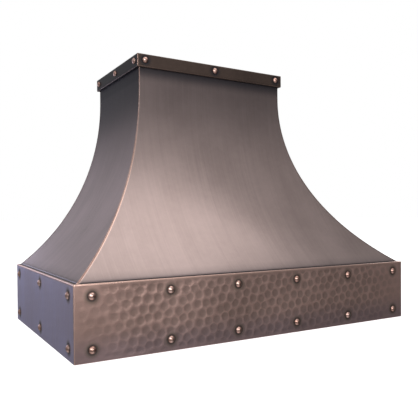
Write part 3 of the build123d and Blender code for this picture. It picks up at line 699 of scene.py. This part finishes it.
@dataclass
class BandSkin:
    """Four mitred sheets of an apron or crown, with rounded bends and corners.

    Attributes:
        prefix: node prefix of the CAD panels it stands for.
        size: the band's box.
        folds: its bends.
        rivets: its rivet pattern.
        finishes: material for wide sides and for narrow sides.
        pitch: mesh spacing.
        wall: sheet thickness.
        hammering: dimple pattern, or None for a plain band.
        relief: share of the hammer depth on wide and on narrow sides.
        bloom: strength of the blue-purple tint on wide and on narrow sides, partly oxide and partly
            painted reflection.
        edge_wear: how bright the foot, head and corner lines are.

    The class values are in metres; a pair is where a smooth step starts and ends.
    """

    prefix: str
    size: BandSize
    folds: Folds
    rivets: RivetRows
    finishes: tuple[bpy.types.Material, bpy.types.Material]
    pitch: float
    wall: float
    hammering: Optional[Hammering] = None
    relief: tuple[float, float] = (1.0, 1.0)
    bloom: tuple[float, float] = (0.0, 0.0)
    edge_wear: Triple = (0.5, 1.0, 0.8)

    bend_steps = 4
    fold_pitch = 0.006
    calm_ends, calm_foot, calm_head = (0.004, 0.022), (0.003, 0.014), (0.003, 0.016)
    calm_rivet, faint_ends, faintest = (0.012, 0.024), (0.02, 0.22), 0.3
    halo_step, halo = (0.027, 0.0105), 0.9
    head_step, foot_step, corner_step = (0.0085, 0.001), (0.005, 0.0), (0.0045, 0.0005)
    fold_wear, fold_shade = (0.006, 0.002), (0.002, 0.006)
    bloom_step = (0.095, 0.012)

    def rows(self) -> list[Triple]:
        """(inset, z, 1 on the face or 0 on a fold) from the foot's turned edge to the head's."""
        low, high, bend = self.size.low, self.size.high, self.folds.bend
        quarter = [math.pi / 2 * i / self.bend_steps for i in range(self.bend_steps)]
        foot = steps(bend, self.folds.foot, self.fold_pitch)
        head = steps(bend, self.folds.head, self.fold_pitch)
        rows = [(inset, low, 0.0) for inset in reversed(foot[1:])]
        rows += [(bend * (1 - math.sin(a)), low + bend * (1 - math.cos(a)), 0.0) for a in quarter]
        rows += [(0.0, z, 1.0) for z in steps(low + bend, high - bend, self.pitch)]
        rows += [(bend * (1 - math.cos(a)), high - bend * (1 - math.sin(a)), 0.0) for a in quarter[1:]]
        rows += [(inset, high, 0.0) for inset in head]
        return rows

    def columns(self, length: float) -> list[tuple[float, float]]:
        """(x, corner inset) stations, turning halfway round each rounded corner."""
        bend = self.folds.bend
        flat = length / 2 - bend
        eighth = [math.pi / 4 * i / self.bend_steps for i in range(1, self.bend_steps + 1)]
        turn = [(flat + bend * math.sin(a), bend * (1 - math.cos(a))) for a in eighth]
        middle = [(x, 0.0) for x in steps(-flat, flat, self.pitch)]
        return [(-x, inset) for x, inset in reversed(turn)] + middle + turn

    def panel(self, side: Side) -> bpy.types.Object:
        """Build one side's sheet.

        Args:
            side: which side.

        Returns:
            The sheet, standing for its CAD panel.
        """
        length = self.size.span(side)[0]
        columns = self.columns(length)
        end_x = columns[-1][0]
        places = self.rivets.places(self.size, side)
        pick = 0 if side.wide else 1
        relief, bloom = self.relief[pick], self.bloom[pick]
        height = self.size.high - self.size.low
        tree = self.hammering.blows(length, height) if self.hammering else None
        foot_wear, head_wear, corner_wear = self.edge_wear

        def spot(column: tuple[float, float], row: Triple) -> Spot:
            """Place one vertex, with its hammering and wear."""
            (x, corner), (inset, z, on_face) = column, row
            up = z - self.size.low
            near = min(math.hypot(x - px, z - pz) for px, pz in places)
            end_gap = length / 2 - abs(x)
            dimple, push = 0.5, 0.0
            if tree and on_face:
                calm = ease(*self.calm_ends, end_gap) * ease(*self.calm_foot, up)
                calm *= ease(*self.calm_head, height - up)
                strong = self.faintest + (1 - self.faintest) * ease(*self.faint_ends, end_gap)
                calm *= ease(*self.calm_rivet, near) * strong
                rise, tone = self.hammering.strike(tree, x, up)
                push = (self.hammering.depth - rise) * calm * relief
                dimple = 0.5 + (tone - 0.5) * calm * relief
            # Darker ring round each rivet: patina with painted shade.
            halo = self.halo * ease(*self.halo_step, near) * on_face
            # Painted shade on the top turned edge, where the sheet above sits on it.
            under_fold = 1.0 - on_face if z > self.size.high - MM else 0.0
            near_face = ease(*self.fold_wear, inset)
            head_line = ease(*self.head_step, height - up) * head_wear * near_face
            foot_line = ease(*self.foot_step, up) * foot_wear * near_face
            corner_line = ease(*self.corner_step, end_gap) * corner_wear
            # Blue-purple tint, partly oxide and partly painted reflection: low on the wide sides, all
            # over the narrow ones.
            low_bloom = bloom * (ease(*self.bloom_step, up) if side.wide else 1.0)
            marks = {"wear": max(head_line, foot_line, corner_line), "dimple": dimple, "bloom": low_bloom,
                     "shade": max(halo, under_fold * ease(*self.fold_shade, inset))}
            along = x * (1 - inset / end_x)
            return Spot(self.size.posed(side, along, inset + corner + push, z), marks)

        node = f"{self.prefix}_{side.label}"
        piece = sheet(f"{node}_skin", columns, self.rows(), spot, self.finishes[pick], self.wall)
        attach(piece, "hood")
        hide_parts(node)
        return piece

    def build(self) -> list[bpy.types.Object]:
        """Build all four sides."""
        return [self.panel(side) for side in Side]


# ---- dome rivets ----
@dataclass
class DomeRivets:
    """Spun rivet heads, one object for each band.

    Attributes:
        node: CAD node of the rivets it stands for.
        size: the band they sit on.
        rivets: their pattern.
        finish: material.
        radius: head radius.
        rise: head height.
    """

    node: str
    size: BandSize
    rivets: RivetRows
    finish: bpy.types.Material
    radius: float = 0.011
    rise: float = 0.0075

    facets = 28
    rings = 9
    sunk = 0.0006
    shank_radius, shank_depth = 0.0024, 0.0030
    rim_step = (0.80, 1.02)

    def head(self, bm: bmesh.types.BMesh, mark: bmesh.types.BMLayerItem, place: Matrix) -> None:
        """Spin one domed head and its shank, and set it in place.

        Args:
            bm: the band's mesh.
            mark: shade layer of its vertices.
            place: where the head goes, its axis along Y.
        """
        ball = (self.radius ** 2 + self.rise ** 2) / (2 * self.rise)
        half = math.asin(self.radius / ball)
        profile = [Vector((0, -self.rise, 0))]
        for i in range(1, self.rings + 1):
            angle = half * i / self.rings
            profile.append(Vector((ball * math.sin(angle), ball * (1 - math.cos(angle)) - self.rise, 0)))
        profile += [Vector((self.radius, self.sunk, 0)), Vector((self.shank_radius, self.sunk, 0)),
                    Vector((self.shank_radius, self.shank_depth, 0)), Vector((0, self.shank_depth, 0))]
        verts = [bm.verts.new(point) for point in profile]
        edges = [bm.edges.new(pair) for pair in zip(verts, verts[1:])]
        bmesh.ops.spin(bm, geom=verts + edges, cent=(0, 0, 0), axis=(0, 1, 0), angle=2 * math.pi,
                       steps=self.facets, use_merge=True)
        fresh = [vert for vert in bm.verts if not vert.tag]
        bmesh.ops.remove_doubles(bm, verts=fresh, dist=TINY)
        fresh = [vert for vert in bm.verts if not vert.tag]
        for vert in fresh:
            # Painted shade on the dome's outer ring, where it meets the sheet.
            reach = math.hypot(vert.co.x, vert.co.z) / self.radius
            vert[mark] = ease(*self.rim_step, reach)
            vert.tag = True
        bmesh.ops.transform(bm, matrix=place, verts=fresh)

    def build(self) -> bpy.types.Object:
        """Set every head of the band."""
        bm = bmesh.new()
        mark = bm.verts.layers.float.new("shade")
        for side in Side:
            for x, z in self.rivets.places(self.size, side):
                place = Matrix.Translation(self.size.posed(side, x, 0.0, z)) @ side.turn
                self.head(bm, mark, place)
        bmesh.ops.recalc_face_normals(bm, faces=bm.faces)
        piece = add_object(f"{self.node}_skin", bm, self.finish)
        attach(piece, "hood")
        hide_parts(self.node)
        return piece


# ---- swept body ----
@dataclass
class SweptBody:
    """Three flared panels, a flat back and the brazed lines along the ridges.

    Attributes:
        apron: the band it stands on; not used.
        crown: the band at its top.
        finishes: material for the front and back, and for the sides.
        seam: material of the brazed ridge lines.
        tangent_z: height where the flare becomes upright.
        wall: sheet thickness.

    The class values are metres and strengths; a pair of metres is where a smooth step runs.
    """

    apron: BandSize
    crown: BandSize
    finishes: tuple[bpy.types.Material, bpy.types.Material]
    seam: bpy.types.Material
    tangent_z: float = 0.8266
    wall: float = 0.0016

    # Painted shade: darker towards the crown and under its lip, and at the foot over the apron's ledge.
    top_tarnish = ((0.53, 0.36), (0.93, 0.50))
    tarnish_end = 0.02
    foot_shades = ((0.05, (0.16, 0.02)), (0.30, (0.022, 0.0)), (0.5, (0.006, 0.0)))
    head_shade, head_reach = 0.35, 0.05
    # Bright copper along the front ridges: worn edges and a painted highlight, fainter high up and on the
    # right.
    ridge_wear, ridge_heights, right_wear = 0.25, (0.80, 0.50), 0.35
    ridge_step = (0.0085, 0.0015)
    side_bloom = 0.35
    seam_radius, seam_segments = 0.0011, 8
    seam_shade, seam_back_shade, seam_reach = 0.45, 0.8, 0.55
    foot_levels, level_pitch = (0.0, 0.003, 0.007, 0.012), 0.012
    end_stations, station_pitch = (0.0, 0.004, 0.010, 0.02), 0.04

    def __post_init__(self) -> None:
        """Read the body's own places from the CAD panels."""
        low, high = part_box("body_back_panel")
        self.foot_half = high.x
        self.back_y = high.y
        self.foot_z, self.top_z = low.z, high.z
        front_low, front_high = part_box("body_front_panel")
        self.foot_front = front_low.y
        self.top_front = front_high.y - self.wall

    def top_half(self) -> float:
        """Half-width of the body under the crown, from the lip that the crown folds in."""
        low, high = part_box("crown_front")
        return self.crown.width / 2 - (high.y - low.y)

    def sweep_at(self, z: float, foot: float, top: float) -> float:
        """Distance from the middle at height z of an arc from foot to top, upright at the top."""
        drop = max(self.tangent_z - z, 0.0)
        full = self.tangent_z - self.foot_z
        reach = foot - top
        radius = (full ** 2 + reach ** 2) / (2 * reach)
        return top + radius - math.sqrt(radius ** 2 - drop ** 2)

    def half_x(self, z: float) -> float:
        """Half-width at a height."""
        return self.sweep_at(z, self.foot_half, self.top_half())

    def front_y(self, z: float) -> float:
        """Front surface's y at a height."""
        return -self.sweep_at(z, -self.foot_front, -self.top_front)

    def levels(self) -> list[float]:
        """Heights of the mesh rows, closer together at the foot."""
        foot = [self.foot_z + rise for rise in self.foot_levels]
        return foot[:-1] + steps(foot[-1], self.top_z, self.level_pitch)

    def across(self) -> list[float]:
        """Stations from 0 to 1 across a panel, closer together at both ends."""
        near, pitch = list(self.end_stations), self.station_pitch
        return near + steps(pitch, 1 - pitch, pitch) + [1 - t for t in reversed(near)]

    def corner(self, side: Side, z: float) -> tuple[Vector, Vector]:
        """The panel's two outer edges at a height, left and right seen from outside."""
        x, front, back = self.half_x(z), self.front_y(z), self.back_y
        ends = {Side.FRONT: ((-x, front), (x, front)), Side.RIGHT: ((x, front), (x, back)),
                Side.BACK: ((x, back), (-x, back)), Side.LEFT: ((-x, back), (-x, front))}[side]
        return Vector((*ends[0], z)), Vector((*ends[1], z))

    def panel(self, side: Side) -> bpy.types.Object:
        """Build one panel.

        Args:
            side: which side.

        Returns:
            The panel, standing for its CAD node.
        """
        under_crown = self.crown.low
        tarnish, drop = self.top_tarnish[0 if side.wide else 1]

        def spot(t: float, z: float) -> Spot:
            """Place one vertex with its painted shade, its worn and highlit ridge edges and its tint."""
            left, right = self.corner(side, z)
            reach = (right - left).length
            gaps = {Side.FRONT: min(t, 1 - t), Side.RIGHT: t, Side.BACK: 1.0, Side.LEFT: 1 - t}
            edge = gaps[side] * reach
            place = left.lerp(right, t)
            # Painted shade at the foot, over the apron's ledge.
            foot = sum(shade * ease(*reaches, z - self.foot_z) for shade, reaches in self.foot_shades)
            # Painted shade under the crown's lip, and darker towards the top.
            head = self.head_shade * ease(self.head_reach, 0.0, under_crown - z)
            head += tarnish * ease(drop, self.tarnish_end, under_crown - z)
            # Ridge edges worn bright with a painted highlight: stronger low down, weaker on the right.
            rubbed = self.ridge_wear + (1 - self.ridge_wear) * ease(*self.ridge_heights, z)
            rubbed *= self.right_wear if place.x > 0 else 1.0
            marks = {"wear": rubbed * ease(*self.ridge_step, edge), "shade": max(foot, head),
                     "dimple": 0.5, "bloom": 0.0 if side.wide else self.side_bloom}
            return Spot(place, marks)

        node = f"body_{side.label}_panel"
        finish = self.finishes[0 if side.wide else 1]
        piece = sheet(f"body_{side.label}_skin", self.across(), self.levels(), spot, finish, self.wall)
        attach(piece, "hood")
        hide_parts(node)
        return piece

    def ridges(self) -> bpy.types.Object:
        """Brazed bead along the four ridges, from the apron's ledge to the crown."""
        bm = bmesh.new()
        shade = bm.verts.layers.float.new("shade")
        levels = self.levels()
        for side in Side:
            points = [self.corner(side, z)[0] for z in levels]
            heading = points[1] - points[0]
            turn = heading.to_track_quat("Z", "Y").to_matrix().to_4x4()
            ring = bmesh.ops.create_circle(bm, segments=self.seam_segments, radius=self.seam_radius,
                                           matrix=Matrix.Translation(points[0]) @ turn)["verts"]
            edges = list({edge for vert in ring for edge in vert.link_edges})
            for before, after in zip(points, points[1:]):
                made = bmesh.ops.extrude_edge_only(bm, edges=edges)["geom"]
                fresh = [item for item in made if isinstance(item, bmesh.types.BMVert)]
                edges = [item for item in made if isinstance(item, bmesh.types.BMEdge)]
                bmesh.ops.translate(bm, verts=fresh, vec=after - before)
        for vert in bm.verts:
            # Painted shade on the beads: darker towards the crown, and dark all along at the back and on
            # the right.
            height = ease(self.seam_reach, 0.0, self.crown.low - vert.co.z)
            behind = vert.co.y > self.back_y - 2 * self.seam_radius
            dull = behind or vert.co.x > 0
            vert[shade] = self.seam_back_shade if dull else self.seam_shade * height
        bmesh.ops.holes_fill(bm, edges=bm.edges, sides=self.seam_segments)
        bmesh.ops.recalc_face_normals(bm, faces=bm.faces)
        piece = add_object("ridge_seams", bm, self.seam)
        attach(piece, "hood")
        return piece

    def build(self) -> list[bpy.types.Object]:
        """Build the panels and the ridge lines."""
        return [self.panel(side) for side in Side] + [self.ridges()]


# ---- metalwork that keeps its CAD shape ----
@dataclass
class Metalwork:
    """Finishes for the CAD nodes that stay as they are, by the record's material slot."""

    frame: dict

    def finishes(self) -> dict[str, bpy.types.Material]:
        """One material for each slot."""
        grey, pale = (0.46, 0.46, 0.45), (0.76, 0.76, 0.75)
        across_x, across_y, across_z = Grain.ACROSS_X, Grain.ACROSS_Y, Grain.ACROSS_Z
        coats = {
            "frame_steel": Coated("primed_steel", (0.035, 0.035, 0.038), (0.11, 0.10, 0.095), 0.55),
            "zinc_fastener": BrushedSteel("zinc_plate", (0.66, 0.65, 0.60), grey, across_z, 0.30),
            "liner_steel": BrushedSteel("liner_stainless", pale, grey, across_y, 0.30),
            "filter_steel": BrushedSteel("baffle_stainless", (0.70, 0.70, 0.69), grey, across_x, 0.24),
            "lamp_metal": BrushedSteel("spun_aluminium", (0.78, 0.78, 0.78), pale, across_z, 0.28),
            "lamp_glass": FrostedLens("frosted_lens"),
            "knob_metal": BrushedSteel("turned_stainless", pale, grey, across_z, 0.22),
            "switch_plastic": Coated("black_moulding", (0.012, 0.012, 0.013), (0.05, 0.05, 0.05), 0.45),
            "galvanised_sheet": Galvanised("galvanised"),
            "wheel_metal": BrushedSteel("stamped_aluminium", (0.62, 0.63, 0.63), grey, across_x, 0.36),
            "shaft_steel": BrushedSteel("ground_bar", pale, grey, across_x, 0.18),
            "motor_paint": Coated("motor_enamel", (0.02, 0.022, 0.025), (0.09, 0.085, 0.08), 0.38, 500.0),
            "copper_rivet": RubbedCopper("burr_copper", (0.70, 0.36, 0.24), (0.34, 0.16, 0.10)),
        }
        return {slot: coat.make() for slot, coat in coats.items()}

    def dress(self) -> int:
        """Give every CAD node that keeps its shape its slot's finish.

        Returns:
            How many nodes were dressed.
        """
        finishes = self.finishes()
        count = 0
        for part in self.frame["record"]["subparts"]:
            node = self.frame["nodes"][part["node"]]
            finish = finishes.get(part["material_slot"])
            if finish:
                node.data.materials.clear()
                node.data.materials.append(finish)
                count += 1
        return count


# ---- studio ----
@dataclass
class SoftBox:
    """One rectangular area light, facing a target."""

    name: str
    place: Triple
    target: Triple
    size: tuple[float, float]
    power: float
    tone: Colour = (1.0, 1.0, 1.0)

    def make(self) -> None:
        """Add the light, pointed at its target."""
        light = bpy.data.lights.new(self.name, "AREA")
        light.shape = "RECTANGLE"
        light.size, light.size_y = self.size
        light.energy = self.power
        light.color = self.tone
        lamp = bpy.data.objects.new(self.name, light)
        aim = Vector(self.target) - Vector(self.place)
        turn = aim.to_track_quat("-Z", "Y").to_matrix().to_4x4()
        lamp.matrix_world = Matrix.Translation(self.place) @ turn
        bpy.context.scene.collection.objects.link(lamp)


@dataclass
class Studio:
    """Pale floor, soft lights, surround and the camera.

    Attributes:
        camera_place: camera position.
        yaw: heading to the right of straight back, degrees.
        pitch: tilt above level, degrees.
        roll: turn about the view axis, degrees.
        lens: focal length, millimetres.
        rise: vertical shift of the frame.
        floor_half: half the floor's side.
        sky: climb of a direction, and how bright the surround is there.
        right_dark: share of the surround that is left low down on the right.
    """

    camera_place: Triple = (-0.9833, -1.6642, 0.3703)
    yaw: float = 30.6
    pitch: float = -0.84
    roll: float = -0.40
    lens: float = 45.19
    rise: float = 0.0382
    floor_half: float = 70.0
    sky: tuple[tuple[float, float], ...] = (
        (-1.0, 0.75), (-0.55, 0.30), (-0.32, 0.08), (-0.2, 0.10),
        (0.0, 0.20), (0.25, 0.33), (0.7, 0.45), (1.0, 0.54))
    right_dark: float = 0.10

    sensor, far_clip = 36.0, 200.0
    floor_drop = 0.0005
    keep_climb, keep_high = (-0.15, 0.45), 0.5
    dark_across = (0.20, 0.90)
    cool_grey = (0.97, 0.97, 1.0)
    middle = (0.0, 0.0, 0.40)

    def floor(self) -> None:
        """Wide pale floor under the rim."""
        bm = bmesh.new()
        bmesh.ops.create_grid(bm, x_segments=1, y_segments=1, size=self.floor_half)
        bmesh.ops.translate(bm, verts=bm.verts, vec=(0, 0, -self.floor_drop))
        floor = add_object("studio_floor", bm, StudioPaper("studio_paper").make())
        floor.visible_glossy = False

    def surround(self) -> None:
        """White behind the object; greyer in what the metal reflects, and dark low on the right."""
        world = bpy.data.worlds.new("studio")
        world.use_nodes = True
        bpy.context.scene.world = world
        graph = Graph(world.node_tree)
        heading = graph.node("ShaderNodeTexCoord", {}, {}, "Generated")
        across = graph.node("ShaderNodeSeparateXYZ", {}, {0: heading}, "X")
        climb = graph.node("ShaderNodeSeparateXYZ", {}, {0: heading}, "Z")
        grey: Value = self.sky[0][1]
        for (low, before), (high, after) in zip(self.sky, self.sky[1:]):
            grey = grey + climb.span(low, high, 0.0, after - before)
        keep = climb.span(*self.keep_climb, self.right_dark, self.keep_high)
        grey = grey * (1.0 - across.span(*self.dark_across) * (1.0 - keep))
        shown = graph.node("ShaderNodeBackground", {}, {"Color": (1.0, 1.0, 1.0)})
        lit = graph.node("ShaderNodeBackground", {}, {"Color": self.cool_grey, "Strength": grey})
        straight = graph.node("ShaderNodeLightPath", {}, {}, "Is Camera Ray")
        chosen = graph.node("ShaderNodeMixShader", {}, {0: straight, 1: lit, 2: shown})
        output = graph.tree.nodes.new("ShaderNodeOutputWorld")
        graph.feed(output.inputs["Surface"], chosen)

    def lights(self) -> None:
        """Overhead light, and fills in front, by the camera, and behind on the left and right."""
        warm = (1.0, 0.97, 0.95)
        boxes = (
            SoftBox("overhead", (0.75, -0.55, 3.0), self.middle, (2.0, 2.0), 12.0, (1.0, 0.97, 0.96)),
            SoftBox("front_fill", (-0.35, -3.2, 0.72), self.middle, (1.4, 0.8), 13.5, (1.0, 0.94, 0.92)),
            SoftBox("camera_fill", (-2.0, -2.6, 1.45), self.middle, (1.5, 1.5), 36.0, warm),
            SoftBox("left_fill", (-1.3, 3.0, 0.6), self.middle, (1.2, 0.8), 6.0, (0.74, 0.75, 1.0)),
            SoftBox("right_fill", (3.2, 1.6, 1.4), self.middle, (1.6, 1.4), 14.0, warm),
        )
        for box in boxes:
            box.make()

    def camera(self) -> None:
        """Camera from the front left, almost level."""
        data = bpy.data.cameras.new("camera")
        data.lens = self.lens
        data.sensor_width = self.sensor
        data.shift_y = self.rise
        data.clip_end = self.far_clip
        camera = bpy.data.objects.new("camera", data)
        yaw, pitch = math.radians(self.yaw), math.radians(self.pitch)
        aim = Vector((math.sin(yaw) * math.cos(pitch), math.cos(yaw) * math.cos(pitch), math.sin(pitch)))
        level = aim.to_track_quat("-Z", "Y").to_matrix().to_4x4()
        spin = Matrix.Rotation(math.radians(self.roll), 4, "Z")
        camera.matrix_world = Matrix.Translation(self.camera_place) @ level @ spin
        bpy.context.scene.collection.objects.link(camera)
        bpy.context.scene.camera = camera

    def build(self) -> None:
        """Set up the whole studio."""
        bpy.context.scene.view_settings.view_transform = "Standard"
        self.camera()
        self.floor()
        self.surround()
        self.lights()


# ---- the hood's own finishes ----
def copper(name: str, grain: Grain, **changes: object) -> bpy.types.Material:
    """An aged copper sheet, with the body's colours unless changed.

    Args:
        name: material name.
        grain: direction of its brush lines.
        **changes: any other AgedCopper field.

    Returns:
        The material.
    """
    colours = {"light": (0.58, 0.455, 0.425), "deep": (0.42, 0.325, 0.30), "bare": BARE, "shadow": SOOT,
               "bloom": (0.30, 0.245, 0.31)}
    colours.update(changes)
    return AgedCopper(name=name, grain=grain, **colours).make()


def apron_skin(size: BandSize, rows: RivetRows) -> BandSkin:
    """The hammered apron: dark in its hollows, blue-violet on its narrow sides, partly oxide and partly
    painted reflection.

    Args:
        size: the apron's box.
        rows: its rivets.

    Returns:
        The apron, ready to build.
    """
    shared = {"light": (0.80, 0.545, 0.48), "deep": (0.56, 0.375, 0.325), "rough": 0.38,
              "shadow": (0.19, 0.155, 0.125), "hammered": True}
    wide = copper("hammered_copper", Grain.ACROSS_Z, lines=0.3, **shared)
    narrow = copper("hammered_copper_side", Grain.ACROSS_Y, lines=1.1, tilt=(18.0, 0.0, 0.0),
                    bloom=(0.72, 0.70, 1.0), **shared)
    return BandSkin("apron", size, Folds(bend=0.0022, foot=0.020, head=0.025), rows, (wide, narrow),
                    pitch=0.0026, wall=0.0014, hammering=Hammering(), relief=(1.0, 0.35),
                    bloom=(0.70, 1.05))


def crown_skin(size: BandSize, rows: RivetRows) -> BandSkin:
    """The plain crown, dark with patina; its narrow sides darker still with painted shade.

    Args:
        size: the crown's box.
        rows: its rivets.

    Returns:
        The crown, ready to build.
    """
    shared = {"rough": 0.30, "lines": 0.4}
    wide = copper("crown_copper", Grain.ACROSS_Z, light=(0.19, 0.135, 0.11), deep=(0.115, 0.083, 0.07),
                  **shared)
    # The narrow sides' copy is several times darker than the wide one: painted shade.
    narrow = copper("crown_copper_side", Grain.ACROSS_Z, light=(0.036, 0.031, 0.037),
                    deep=(0.022, 0.019, 0.024), **shared)
    return BandSkin("crown", size, Folds(bend=0.0016, foot=0.0098, head=0.0016), rows, (wide, narrow),
                    pitch=0.006, wall=0.0014, edge_wear=(0.34, 0.25, 0.42))


def swept_body(apron: BandSize, crown: BandSize) -> SweptBody:
    """The brushed body and its ridge beads.

    Args:
        apron: the band below.
        crown: the band above.

    Returns:
        The body, ready to build.
    """
    wide = copper("body_copper", Grain.ACROSS_X)
    # The sides' copy is paler than the front's: painted light.
    narrow = copper("body_copper_side", Grain.ACROSS_Y, light=(0.74, 0.585, 0.565),
                    deep=(0.50, 0.39, 0.375), bloom=(0.56, 0.48, 0.60), lines=0.95,
                    shadow=(0.058, 0.048, 0.052))
    bead = RubbedCopper("ridge_copper", (0.95, 0.70, 0.62), (0.72, 0.47, 0.39), 0.36).make()
    return SweptBody(apron, crown, (wide, narrow), bead)


def main() -> None:
    """Build the looks round the CAD frame, in order."""
    logging.basicConfig(level=logging.INFO, format="%(name)s: %(message)s")
    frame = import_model()
    Studio().build()

    apron = BandSize.read("apron")
    crown = BandSize.read("crown")
    apron_rows = RivetRows(0.048, 6, 3, (0.033, 0.171))
    crown_rows = RivetRows(0.028, 3, 3, (crown.high - 0.020,))
    skins = (apron_skin(apron, apron_rows), crown_skin(crown, crown_rows), swept_body(apron, crown))
    rivet_copper = RubbedCopper("rivet_copper", (0.98, 0.69, 0.60), (0.64, 0.37, 0.29), 0.30).make()
    pieces = [piece for skin in skins for piece in skin.build()]
    pieces.append(DomeRivets("apron_rivets", apron, apron_rows, rivet_copper).build())
    pieces.append(DomeRivets("crown_rivets", crown, crown_rows, rivet_copper).build())
    for piece in pieces:
        LOG.info("%s: %d faces", piece.name, len(piece.data.polygons))
    LOG.info("%d CAD nodes dressed", Metalwork(frame).dress())


if __name__ == "__main__":
    main()
